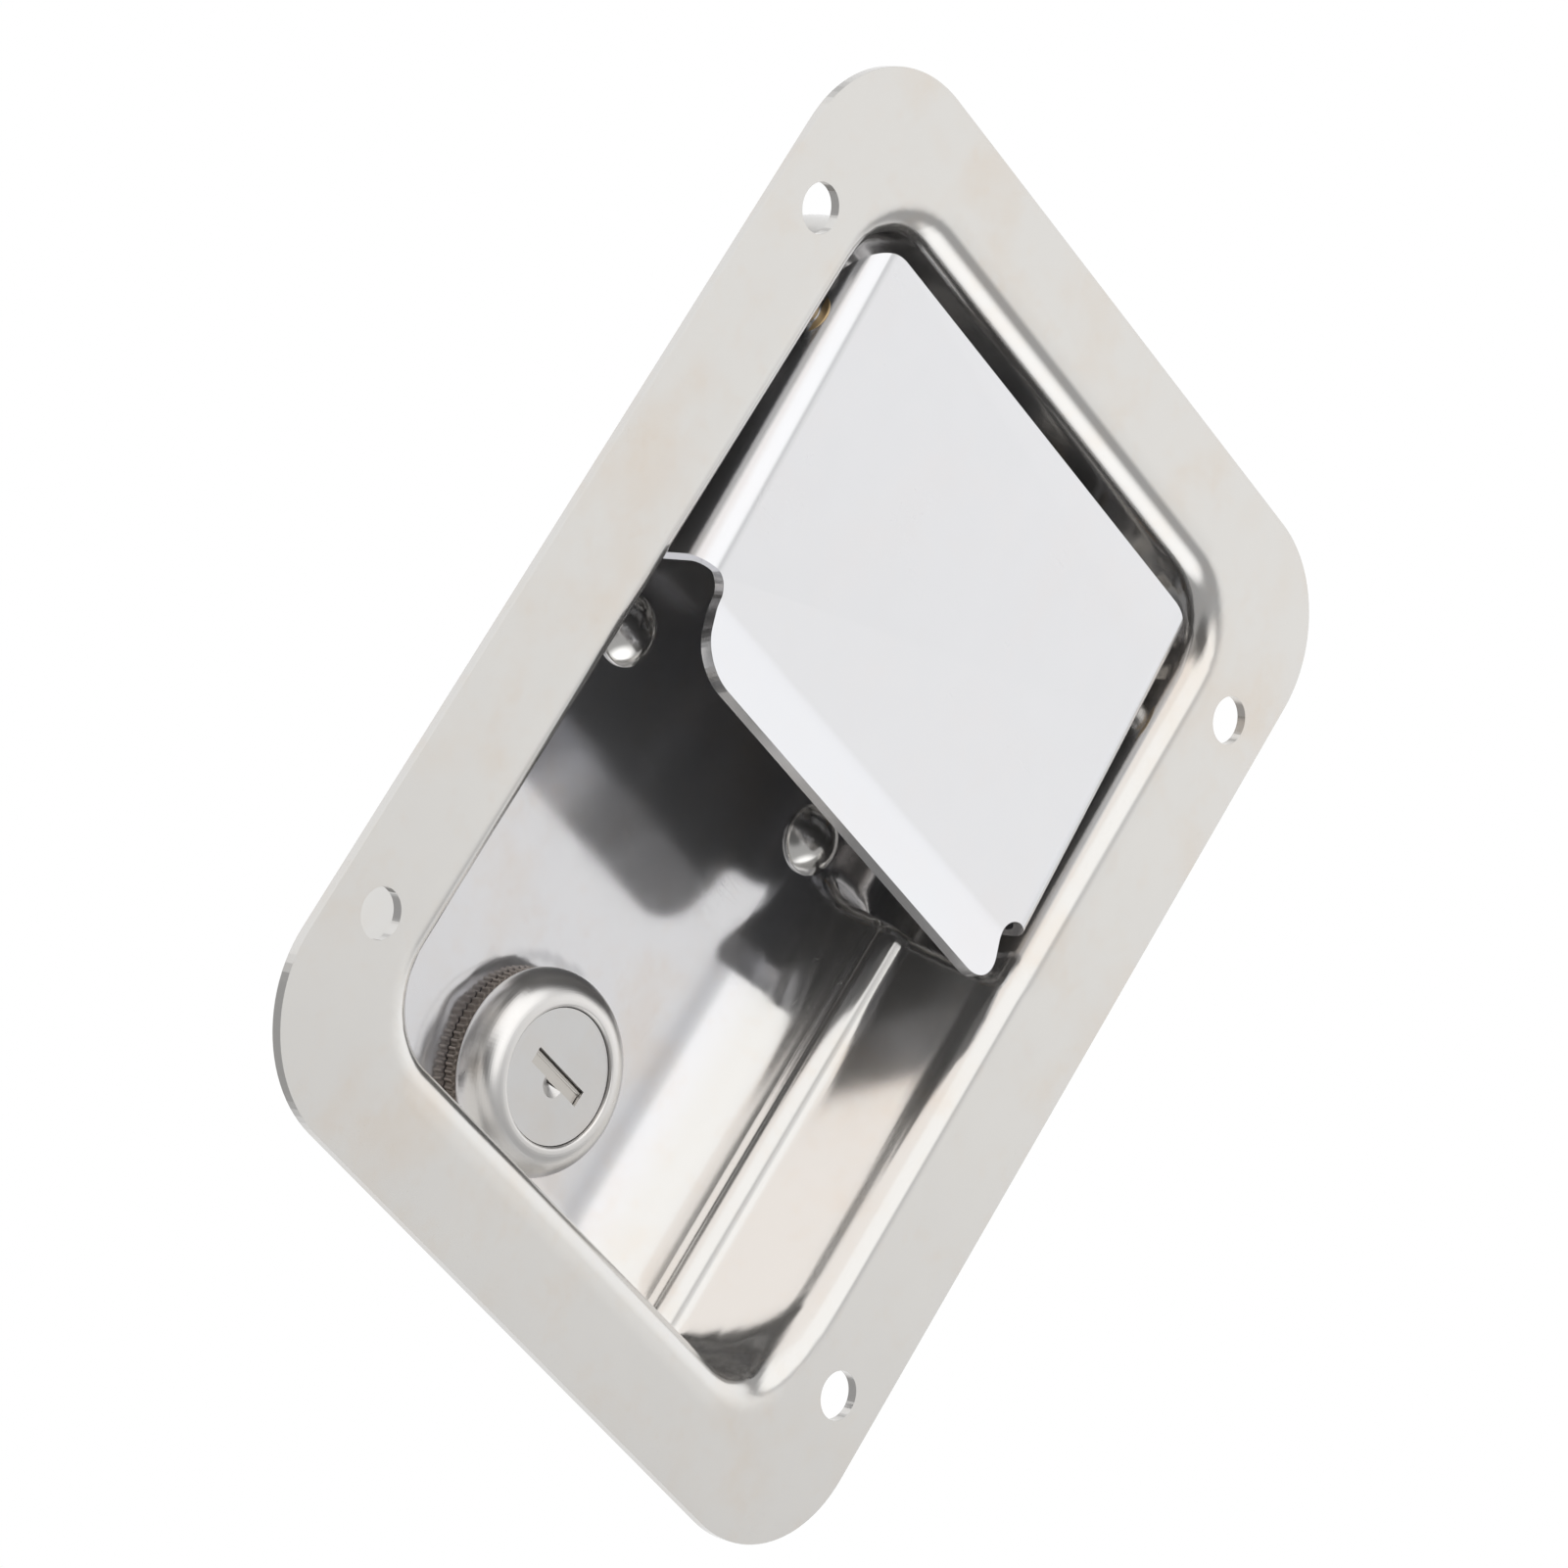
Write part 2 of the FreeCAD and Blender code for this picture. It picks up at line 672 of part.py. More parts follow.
def make_paddle():
    paddle = new_body("paddle")
    front = -size.face_to_pin
    back = front + size.paddle_metal
    top = size.paddle_above_pin
    bend = -size.paddle_below_pin
    lip_out = size.lip_length * sine(size.lip_angle)
    lip_down = size.lip_length * cosine(size.lip_angle)
    edge_out = size.paddle_metal * cosine(size.lip_angle)
    edge_down = size.paddle_metal * sine(size.lip_angle)
    half = PADDLE_WIDTH / 2

    sketch = sketch_on(paddle, "YZ_Plane", "paddle_side_profile", 0)
    draw_polygon(sketch, [(front, top), (front, bend), (front - lip_out, bend - lip_down),
                          (front - lip_out + edge_out, bend - lip_down - edge_down),
                          (back, bend - edge_down * 0.5), (back, top)])
    plate = pad(paddle, sketch, "paddle_plate", PADDLE_WIDTH, both_ways=True)
    fillet(paddle, edges_by(plate, [(0, front, bend)]), size.lip_bend, "lip_bend_front")
    fillet(paddle, edges_by(paddle.Tip, [(0, back, bend - edge_down * 0.5)]),
           size.lip_bend + size.paddle_metal, "lip_bend_back")

    # The blank is narrower below the flanks, with a small radius in each neck
    flank_low = -size.flank_end
    lip_half = LIP_WIDTH / 2
    lip_low = bend - lip_down - edge_down
    wide = half * 2
    neck = size.lip_corner * 0.5
    sketch = sketch_on(paddle, "XZ_Plane", "lip_outline", back)
    draw_outline(sketch, [(-wide, lip_low * 2, 0), (wide, lip_low * 2, 0), (wide, flank_low, 0),
                          (lip_half, flank_low, neck), (lip_half, lip_low + edge_down, size.lip_corner),
                          (-lip_half, lip_low + edge_down, size.lip_corner), (-lip_half, flank_low, neck),
                          (-wide, flank_low, 0)])
    pocket(paddle, sketch, "lip_outline_cut", size.flank_depth * 4, both_ways=True)

    sketch = sketch_on(paddle, "XZ_Plane", "flank_outline", front)
    inner = half - size.paddle_metal
    draw_outline(sketch, rectangle(-half, -inner, flank_low, top))
    draw_outline(sketch, rectangle(inner, half, flank_low, top))
    pad(paddle, sketch, "flanks", size.flank_depth, backwards=True)
    inner_spots = [(side * inner.value, back, 0) for side in (-1, 1)]
    inside = size.flank_bend - size.paddle_metal
    fillet(paddle, edges_by(paddle.Tip, inner_spots), inside, "flank_bend_inside")
    outer_spots = [(side * half.value, front, 0) for side in (-1, 1)]
    fillet(paddle, edges_by(paddle.Tip, outer_spots), size.flank_bend, "flank_bend_outside")

    sketch = sketch_on(paddle, "XZ_Plane", "top_corners", back)
    draw_outline(sketch, rectangle(-wide, wide, flank_low * 2, top * 2))
    draw_outline(sketch, [(-half, flank_low * 1.8, 0), (half, flank_low * 1.8, 0),
                          (half, top, size.paddle_corner),
                          (-half, top, size.paddle_corner)])
    pocket(paddle, sketch, "top_corners_cut", size.flank_depth * 4, both_ways=True)

    sketch = sketch_on(paddle, "YZ_Plane", "bush_holes", 0)
    draw_circle(sketch, 0, 0, size.bush_outside)
    pocket(paddle, sketch, "bush_holes_cut", PADDLE_WIDTH * 2, both_ways=True)
    paddle_placement(paddle)
    return node(paddle, "paddle")


def make_bushes():
    """Collared bushes, pressed into the flanks from inside."""
    half = PADDLE_WIDTH / 2
    inner = size.pin_diameter / 2 + size.running_gap
    outer = size.bush_outside / 2
    collar = size.bush_collar / 2
    collar_at = half - size.paddle_metal
    collar_end = collar_at - size.bush_collar_thick
    profile = [(inner, collar_end), (collar, collar_end), (collar, collar_at), (outer, collar_at),
               (outer, half), (inner, half)]
    right = turned("right_bush", profile, "X")
    left = turned("left_bush", [(radius, -distance) for radius, distance in profile], "X")
    for bush in (right, left):
        place(bush, 0, size.pin_depth, size.pin_height)
    group("paddle_bushes", [right, left])


def make_lever():
    """Driving lever: a forged arm with an eye for the pin and a base welded to the paddle's back."""
    lever = new_body("drive_lever")
    back = size.paddle_metal - size.face_to_pin
    base_back = back + size.lever_base
    root = size.lever_root / 2
    tip = size.lever_tip / 2
    sketch = sketch_on(lever, "YZ_Plane", "lever_base_profile", 0)
    draw_polygon(sketch, [(back, -size.lever_base_down), (base_back, -size.lever_base_down),
                          (base_back, size.lever_base_up), (back, size.lever_base_up)])
    pad(lever, sketch, "lever_base", size.lever_width, both_ways=True)
    sketch = sketch_on(lever, "YZ_Plane", "lever_eye_profile", 0)
    draw_circle(sketch, 0, 0, size.lever_hub)
    pad(lever, sketch, "lever_eye", size.lever_width, both_ways=True)
    sketch = sketch_on(lever, "YZ_Plane", "lever_arm_profile", 0)
    draw_polygon(sketch, [(0, -root), (LEVER_ARM, -tip), (LEVER_ARM, tip), (0, root)])
    pad(lever, sketch, "lever_arm", size.lever_width, both_ways=True)
    sketch = sketch_on(lever, "YZ_Plane", "lever_tip_profile", 0)
    draw_circle(sketch, LEVER_ARM, 0, size.lever_tip)
    pad(lever, sketch, "lever_tip", size.lever_width, both_ways=True)
    # Trims what the round eye has in front of the paddle's back
    sketch = sketch_on(lever, "YZ_Plane", "lever_front_trim", 0)
    draw_polygon(sketch, [(back, -size.lever_hub), (back, size.lever_hub),
                          (back - size.lever_hub, size.lever_hub),
                          (back - size.lever_hub, -size.lever_hub)])
    if size.lever_hub.value / 2 > -back.value:
        pocket(lever, sketch, "lever_front_cut", size.lever_width * 2, both_ways=True)
    sketch = sketch_on(lever, "YZ_Plane", "lever_pin_hole", 0)
    draw_circle(sketch, 0, 0, size.pin_diameter + size.running_gap * 2)
    pocket(lever, sketch, "lever_pin_hole_cut", size.lever_width * 2, both_ways=True)
    paddle_placement(lever)
    return node(lever, "drive_lever")


def wire_helix(name, wire, radius, pitch, height):
    """A round wire swept along a helix about Z that starts on the X axis."""
    path = doc.addObject("Part::Helix", name + "_path")
    section = doc.addObject("Part::Circle", name + "_section")
    sweep = doc.addObject("Part::Sweep", name + "_wire")
    for property_name, amount in (("Pitch", pitch), ("Height", height), ("Radius", radius)):
        setattr(path, property_name, amount.value)
        path.setExpression(property_name, amount.text)
    section.Radius = (wire / 2).value
    bind(section, Radius=wire / 2)
    place(section, radius, 0, 0)
    section.Placement.Rotation = FreeCAD.Rotation(Base.Vector(1, 0, 0), 90)
    doc.recompute()
    sweep.Sections = [section]
    sweep.Spine = (path, [])
    sweep.Solid = True
    sweep.Frenet = True
    doc.recompute()
    return sweep


def make_return_springs():
    """Two torsion springs round the pin, each with a leg on the paddle and one on the dish floor."""
    wire = size.return_wire
    radius = size.return_coil / 2
    angle = size.return_leg_angle
    turns = size.return_turns + angle / 360
    begin = size.return_start + wire / 2
    end = begin + size.return_pitch * turns
    coil = wire_helix("return_coil", wire, radius, size.return_pitch, size.return_pitch * turns)
    place(coil, begin, 0, 0)
    # The helix axis lies along the pin, and the coil starts next to the paddle's back
    coil.Placement.Rotation = FreeCAD.Rotation(Base.Vector(0, -1, 0), Base.Vector(0, 0, -1),
                                               Base.Vector(1, 0, 0))

    short = doc.addObject("Part::Cylinder", "return_paddle_leg")
    bind(short, Radius=wire / 2, Height=size.return_short_leg + wire / 2)
    place(short, begin, -radius, -wire / 2)
    long = doc.addObject("Part::Cylinder", "return_floor_leg")
    gap = FLOOR_FRONT - size.pin_depth - wire - size.running_gap + radius * cosine(angle)
    bind(long, Radius=wire / 2, Height=gap / sine(angle))
    place(long, end, -radius * cosine(angle), -radius * sine(angle))
    long.Placement.Rotation = FreeCAD.Rotation(Base.Vector(1, 0, 0), 180 + angle.value)
    long.setExpression("Placement.Rotation.Axis.x", "1")
    long.setExpression("Placement.Rotation.Angle", (angle + 180).text)
    spring = doc.addObject("Part::MultiFuse", "right_return_spring")
    spring.Shapes = [coil, short, long]
    doc.recompute()
    mirrored = doc.addObject("Part::Mirroring", "left_return_spring")
    mirrored.Source = spring
    mirrored.Normal = Base.Vector(1, 0, 0)
    doc.recompute()
    group("return_springs", [spring, mirrored])
    paddle_placement(NODES[-1])


# Housing of the slam bolt: a hat section with an end tab, riveted to the back of the dish floor

def make_housing():
    housing = new_body("bolt_housing")
    inside = size.bolt_width / 2 + size.slide_gap
    outside = inside + size.housing_metal
    foot = outside + size.foot_width
    back = HOUSING_INSIDE + size.housing_metal
    height = size.housing_top + size.housing_bottom
    sketch = sketch_on(housing, "XY_Plane", "hat_section", -size.housing_bottom)
    foot_back = FLOOR_BACK + size.housing_metal
    draw_polygon(sketch, [(-foot, FLOOR_BACK), (-inside, FLOOR_BACK), (-inside, HOUSING_INSIDE),
                          (inside, HOUSING_INSIDE), (inside, FLOOR_BACK), (foot, FLOOR_BACK),
                          (foot, foot_back), (outside, foot_back), (outside, back), (-outside, back),
                          (-outside, foot_back), (-foot, foot_back)])
    hat = pad(housing, sketch, "hat", height)
    corners = [(side * outside.value, back, 0) for side in (-1, 1)]
    fillet(housing, edges_by(hat, corners), size.housing_metal * 1.5, "hat_bends")
    roots = [(side * outside.value, foot_back, 0) for side in (-1, 1)]
    fillet(housing, edges_by(housing.Tip, roots), size.housing_metal * 0.6, "foot_bends")

    sketch = sketch_on(housing, "XY_Plane", "end_tab_outline", -size.housing_bottom)
    draw_polygon(sketch, [(-inside, FLOOR_BACK), (inside, FLOOR_BACK), (inside, HOUSING_INSIDE),
                          (-inside, HOUSING_INSIDE)])
    pad(housing, sketch, "end_tab", size.housing_metal)

    tips = edges_at(housing.Tip, lambda middle, box: same(abs(middle.x), foot) and box.ZLength < 0.01)
    fillet(housing, tips, size.foot_corner, "foot_corners")

    sketch = sketch_on(housing, "XY_Plane", "rod_hole", -size.housing_bottom)
    draw_circle(sketch, 0, BOLT_MIDDLE, size.rod_diameter + size.running_gap * 2)
    pocket(housing, sketch, "rod_hole_cut", size.housing_metal * 3, both_ways=True)

    sketch = sketch_on(housing, "XZ_Plane", "housing_rivet_holes", foot_back)
    for x, z in rivet_places():
        draw_circle(sketch, x, z, size.rivet_shank + size.running_gap * 2)
    pocket(housing, sketch, "housing_rivet_cut", size.housing_metal * 2.5, both_ways=True)
    return node(housing, "bolt_housing")


def make_rivets():
    """Domed rivets through the dish floor and the housing's feet."""
    head = size.rivet_head / 2
    shank = size.rivet_shank / 2
    tail = size.rivet_tail / 2
    foot_back = FLOOR_BACK + size.housing_metal
    dome_front = FLOOR_FRONT - size.rivet_dome
    rim = size.rivet_dome * 0.25
    rivet = turned("rivet", [(0, dome_front), (head, dome_front), (head, FLOOR_FRONT), (shank, FLOOR_FRONT),
                             (shank, foot_back), (tail, foot_back), (tail, foot_back + size.rivet_tail_thick),
                             (0, foot_back + size.rivet_tail_thick)])
    crown = edges_at(rivet.Tip, lambda middle, box: same(box.YMin, dome_front) and same(box.YMax, dome_front)
                     and box.XLength > 1)
    fillet(rivet, crown, size.rivet_dome - rim, "rivet_dome_radius")
    butt = edges_at(rivet.Tip, lambda middle, box: same(box.YMin, foot_back + size.rivet_tail_thick)
                    and same(box.YMax, foot_back + size.rivet_tail_thick) and box.XLength > 1)
    fillet(rivet, butt, size.rivet_tail_thick * 0.6, "rivet_tail_radius")
    places = rivet_places()
    place(rivet, places[0][0], 0, places[0][1])
    members = [rivet]
    for count, (x, z) in enumerate(places[1:], start=2):
        members.append(copy_of(rivet, "rivet_%d" % count, x, 0, z))
    group("housing_rivets", members)


# Slam bolt, its tail rod with clip, and the bolt spring

def make_bolt():
    bolt = new_body("slam_bolt")
    half = size.bolt_width / 2
    sketch = sketch_on(bolt, "YZ_Plane", "bolt_side_profile", 0)
    draw_polygon(sketch, [(BOLT_FRONT, BOLT_END), (BOLT_BACK, BOLT_END),
                          (BOLT_BACK, BOLT_TOP - size.bolt_bevel),
                          (BOLT_FRONT + size.bolt_nose, BOLT_TOP), (BOLT_FRONT, BOLT_TOP)])
    bar = pad(bolt, sketch, "bolt_bar", size.bolt_width, both_ways=True)
    nose = edges_by(bar, [(0, BOLT_BACK, BOLT_TOP - size.bolt_bevel)])
    fillet(bolt, nose, size.bolt_nose, "bevel_root")
    nose = edges_by(bolt.Tip, [(0, BOLT_FRONT + size.bolt_nose, BOLT_TOP)])
    fillet(bolt, nose, size.bolt_nose * 0.6, "bevel_tip")
    corners = edges_by(bolt.Tip, [(side * half.value, BOLT_MIDDLE, BOLT_END) for side in (-1, 1)])
    fillet(bolt, corners, size.bolt_nose, "bolt_end_corners")

    sketch = sketch_on(bolt, "XZ_Plane", "lever_window", BOLT_MIDDLE)
    half_window = size.lever_width / 2 + size.lever_play * 1.4
    low = LEVER_TIP_HEIGHT - size.lever_tip / 2 - size.lever_play
    high = LEVER_TIP_HEIGHT + size.lever_tip / 2 + size.lever_play + size.bolt_travel
    draw_outline(sketch, rectangle(-half_window, half_window, low, high, size.lever_play))
    pocket(bolt, sketch, "lever_window_cut", size.bolt_thick * 2, both_ways=True)

    sketch = sketch_on(bolt, "XY_Plane", "rod_socket", BOLT_END)
    draw_circle(sketch, 0, BOLT_MIDDLE, size.rod_diameter)
    pocket(bolt, sketch, "rod_socket_cut", size.rod_grip, backwards=True)
    return node(bolt, "slam_bolt")


def make_tail_rod():
    radius = size.rod_diameter / 2
    low = TAB_BOTTOM - size.rod_tail
    rod = new_body("tail_rod")
    sketch = sketch_on(rod, "XZ_Plane", "tail_rod_profile", 0)
    chamfer = size.running_gap * 8
    top = BOLT_END + size.rod_grip
    draw_polygon(sketch, [(0, low), (radius - chamfer, low), (radius, low + chamfer), (radius, top),
                          (0, top)])
    revolve(rod, sketch, "tail_rod_turned", "V_Axis")
    place(rod, 0, BOLT_MIDDLE, 0)
    node(rod, "tail_rod")

    clip = new_body("tail_clip")
    sketch = sketch_on(clip, "XY_Plane", "tail_clip_outline", 0)
    draw_circle(sketch, 0, 0, size.clip_outside)
    draw_circle(sketch, 0, 0, size.rod_diameter + size.running_gap)
    pad(clip, sketch, "tail_clip_ring", size.clip_thick)
    sketch = sketch_on(clip, "XY_Plane", "tail_clip_jaw", 0)
    draw_outline(sketch, rectangle(-radius * 0.7, radius * 0.7, 0, size.clip_outside))
    pocket(clip, sketch, "tail_clip_jaw_cut", size.clip_thick * 4, both_ways=True)
    place(clip, 0, BOLT_MIDDLE, TAB_BOTTOM - size.clip_thick - size.slide_gap * 0.75)
    node(clip, "tail_clip")


def make_bolt_spring():
    """Compression spring round the tail rod, between the end tab and the bolt."""
    wire = size.spring_wire
    length = BOLT_END - TAB_TOP - wire
    coil = wire_helix("bolt_spring", wire, size.spring_outside / 2 - wire / 2, length / size.spring_turns,
                      length)
    place(coil, 0, BOLT_MIDDLE, TAB_TOP + wire / 2)
    return node(coil, "bolt_spring")


# Lock: a body with a domed head held by a nut, and a plug that carries the cam

def at_lock(thing):
    place(thing, 0, 0, -size.lock_drop)


def make_lock_body():
    front = PLUG_FACE_LEVEL - size.head_proud
    head = size.head_diameter / 2
    barrel = size.barrel_diameter / 2
    face_bore = size.plug_face / 2 + size.ring_gap
    bore = size.plug_body / 2 + size.running_gap
    seat = PLUG_FACE_LEVEL + size.plug_face_thick + size.running_gap
    body = turned("lock_body", [(face_bore, front), (head, front), (head, COLLAR_FRONT),
                                (barrel, COLLAR_FRONT),
                                (barrel, BARREL_END), (bore, BARREL_END), (bore, seat), (face_bore, seat)])
    rim = edges_at(body.Tip, lambda middle, box: same(box.YMin, front) and same(box.YMax, front)
                   and same(box.XLength, head * 2, 0.1))
    fillet(body, rim, size.head_radius, "head_roll")
    lip = edges_at(body.Tip, lambda middle, box: same(box.YMin, front) and same(box.YMax, front)
                   and same(box.XLength, face_bore * 2, 0.1))
    fillet(body, lip, size.head_proud * 0.9, "bore_lip")
    sketch = sketch_on(body, "XZ_Plane", "barrel_flats_outline", BARREL_END)
    far = size.barrel_diameter
    flat = size.barrel_flats / 2
    draw_outline(sketch, rectangle(flat, far, -far, far))
    draw_outline(sketch, rectangle(-far, -flat, -far, far))
    pocket(body, sketch, "barrel_flats_cut", BARREL_END - COLLAR_FRONT, backwards=True)
    at_lock(body)
    return node(body, "lock_body")


def make_collar():
    """Toothed collar between the head and the dish floor."""
    outer = size.collar_diameter / 2
    collar = turned("toothed_collar", ring_profile(size.barrel_diameter / 2 + size.ring_gap, outer,
                                                   COLLAR_FRONT, FLOOR_FRONT))
    sketch = sketch_on(collar, "XZ_Plane", "tooth_gap_outline", FLOOR_FRONT)
    notch = size.collar_thick * 0.5
    draw_circle(sketch, outer + notch * 0.2, 0, notch * 2)
    gap = pocket(collar, sketch, "tooth_gap", size.collar_thick, backwards=True)
    pattern = collar.newObject("PartDesign::PolarPattern", "collar_teeth")
    pattern.Originals = [gap]
    pattern.Axis = ([item for item in collar.Origin.OriginFeatures if item.Role == "Y_Axis"][0], [""])
    pattern.Angle = 360
    pattern.Occurrences = int(size.collar_teeth.value)
    pattern.setExpression("Occurrences", size.collar_teeth.text)
    collar.Tip = pattern
    doc.recompute()
    at_lock(collar)
    return node(collar, "toothed_collar")


def make_lock_fixings():
    washer = turned("lock_washer", ring_profile(size.barrel_diameter / 2 + size.ring_gap,
                                                size.washer_diameter / 2, FLOOR_BACK,
                                                FLOOR_BACK + size.washer_thick))
    at_lock(washer)
    node(washer, "lock_washer")

    nut = new_body("lock_nut")
    seat = FLOOR_BACK + size.washer_thick
    sketch = sketch_on(nut, "XZ_Plane", "nut_outline", seat)
    half = size.nut_flats / 2
    side = size.nut_flats / math.sqrt(3)
    draw_polygon(sketch, [(side, 0), (side / 2, half), (-side / 2, half), (-side, 0), (-side / 2, -half),
                          (side / 2, -half)])
    pad(nut, sketch, "nut_blank", size.nut_thick, backwards=True)
    sketch = sketch_on(nut, "XZ_Plane", "nut_bore", seat)
    draw_circle(sketch, 0, 0, size.barrel_diameter + size.running_gap * 2)
    pocket(nut, sketch, "nut_bore_cut", size.nut_thick * 3, both_ways=True)
    at_lock(nut)
    node(nut, "lock_nut")


def make_plug():
    face = size.plug_face / 2
    body_radius = size.plug_body / 2
    shoulder = PLUG_FACE_LEVEL + size.plug_face_thick
    groove_start = BARREL_END + size.running_gap * 2
    groove_end = groove_start + size.clip_thick
    neck = body_radius - size.clip_thick
    plug = turned("lock_plug", [(0, PLUG_FACE_LEVEL), (face, PLUG_FACE_LEVEL), (face, shoulder),
                                (body_radius, shoulder), (body_radius, groove_start), (neck, groove_start),
                                (neck, groove_end), (0, groove_end)])
    shaft = size.square_shaft / 2
    sketch = sketch_on(plug, "XZ_Plane", "square_shaft_outline", groove_end)
    draw_outline(sketch, rectangle(-shaft, shaft, -shaft, shaft))
    pad(plug, sketch, "square_shaft", size.shaft_length, backwards=True)
    shaft_end = groove_end + size.shaft_length

    sketch = sketch_on(plug, "XZ_Plane", "screw_hole", shaft_end)
    draw_circle(sketch, 0, 0, size.screw_diameter)
    pocket(plug, sketch, "screw_hole_cut", size.shaft_length * 1.4, backwards=True)

    half_wide = size.key_slot_width / 2
    half_high = size.key_slot_height / 2
    chamber = size.wafer_start + size.wafer_pitch * size.wafer_count
    sketch = sketch_on(plug, "XZ_Plane", "key_slot", PLUG_FACE_LEVEL)
    draw_outline(sketch, rectangle(-half_wide, half_wide, -half_high, half_high))
    pocket(plug, sketch, "key_slot_cut", chamber)

    sketch = sketch_on(plug, "YZ_Plane", "wafer_slot", 0)
    slot_high = size.wafer_height / 2 + size.running_gap * 2
    first = PLUG_FACE_LEVEL + size.wafer_start
    last = first + size.wafer_thick + size.running_gap * 4
    draw_outline(sketch, rectangle(first, last, -slot_high, slot_high))
    slot = pocket(plug, sketch, "wafer_slot_cut", size.plug_body * 2, both_ways=True)
    pattern = plug.newObject("PartDesign::LinearPattern", "wafer_slots")
    pattern.Originals = [slot]
    pattern.Direction = ([item for item in plug.Origin.OriginFeatures if item.Role == "Y_Axis"][0], [""])
    pattern.Length = (size.wafer_pitch * (size.wafer_count - 1)).value
    bind(pattern, Length=size.wafer_pitch * (size.wafer_count - 1))
    pattern.Occurrences = int(size.wafer_count.value)
    pattern.setExpression("Occurrences", size.wafer_count.text)
    plug.Tip = pattern
    doc.recompute()

    # The shutter's trunnion holes, and the dimple that leads the key in
    trunnion = shutter_trunnion()
    sketch = sketch_on(plug, "YZ_Plane", "trunnion_holes", 0)
    draw_circle(sketch, shutter_level(), shutter_hinge(), trunnion + size.running_gap * 2)
    pocket(plug, sketch, "trunnion_holes_cut", size.key_slot_width + size.plug_face * 0.15, both_ways=True)
    sketch = sketch_on(plug, "XY_Plane", "dimple_profile", -half_high)
    dimple = size.key_dimple / 2
    draw_polygon(sketch, [(0, PLUG_FACE_LEVEL - dimple * 0.2), (dimple * 1.2, PLUG_FACE_LEVEL - dimple * 0.2),
                          (0, PLUG_FACE_LEVEL + dimple * 0.5)])
    before = plug.Tip.Shape.Volume
    groove = plug.newObject("PartDesign::Groove", "dimple")
    groove.Profile = sketch
    groove.ReferenceAxis = (sketch, ["V_Axis"])
    groove.Angle = 360
    doc.recompute()
    if not groove.Shape.Volume < before:
        raise RuntimeError("the dimple cuts nothing")
    at_lock(plug)
    node(plug, "lock_plug")

    clip = make_clip("plug_clip", neck + size.running_gap, body_radius + size.clip_thick, "Y")
    place(clip, 0, groove_start, -size.lock_drop)
    node(clip, "plug_clip")
    return groove_end, shaft_end


def shutter_trunnion():
    return size.shutter_thick * 1.75


def shutter_level():
    return PLUG_FACE_LEVEL + size.shutter_depth + size.shutter_thick / 2


def shutter_hinge():
    return size.key_slot_height / 2 - shutter_trunnion() / 2 - size.running_gap


def make_shutter():
    """Spring flap that closes the key slot, turning on trunnions at its upper edge."""
    shutter = new_body("key_shutter")
    level = shutter_level()
    hinge = shutter_hinge()
    gap = size.running_gap * 2
    half_wide = size.key_slot_width / 2 - gap
    sketch = sketch_on(shutter, "YZ_Plane", "shutter_flap_profile", 0)
    front = level - size.shutter_thick / 2
    draw_outline(sketch, rectangle(front, front + size.shutter_thick, gap - size.key_slot_height / 2, hinge))
    pad(shutter, sketch, "shutter_flap", half_wide * 2, both_ways=True)
    sketch = sketch_on(shutter, "YZ_Plane", "shutter_trunnion_profile", 0)
    draw_circle(sketch, level, hinge, shutter_trunnion())
    pad(shutter, sketch, "shutter_trunnions", size.key_slot_width + size.plug_face * 0.12, both_ways=True)
    at_lock(shutter)
    node(shutter, "key_shutter")


def make_wafers():
    """Wafer tumblers, one in each slot of the plug, with the key's window in them."""
    half = size.wafer_width / 2
    high = size.wafer_height / 2
    members = []
    for count in range(int(size.wafer_count.value)):
        start = PLUG_FACE_LEVEL + size.wafer_start + size.wafer_pitch * count + size.running_gap * 2
        wafer = new_body("wafer_%d" % (count + 1))
        sketch = sketch_on(wafer, "XZ_Plane", "wafer_outline_%d" % (count + 1), start)
        draw_outline(sketch, rectangle(-half, half, -high, high))
        window = size.key_slot_width / 2 + size.ring_gap
        draw_outline(sketch, rectangle(-window, window, -size.key_slot_height / 2 - size.ring_gap,
                                       size.key_slot_height / 2 + size.ring_gap))
        pad(wafer, sketch, "wafer_plate_%d" % (count + 1), size.wafer_thick, backwards=True)
        at_lock(wafer)
        members.append(wafer)
    group("wafer_tumblers", members)


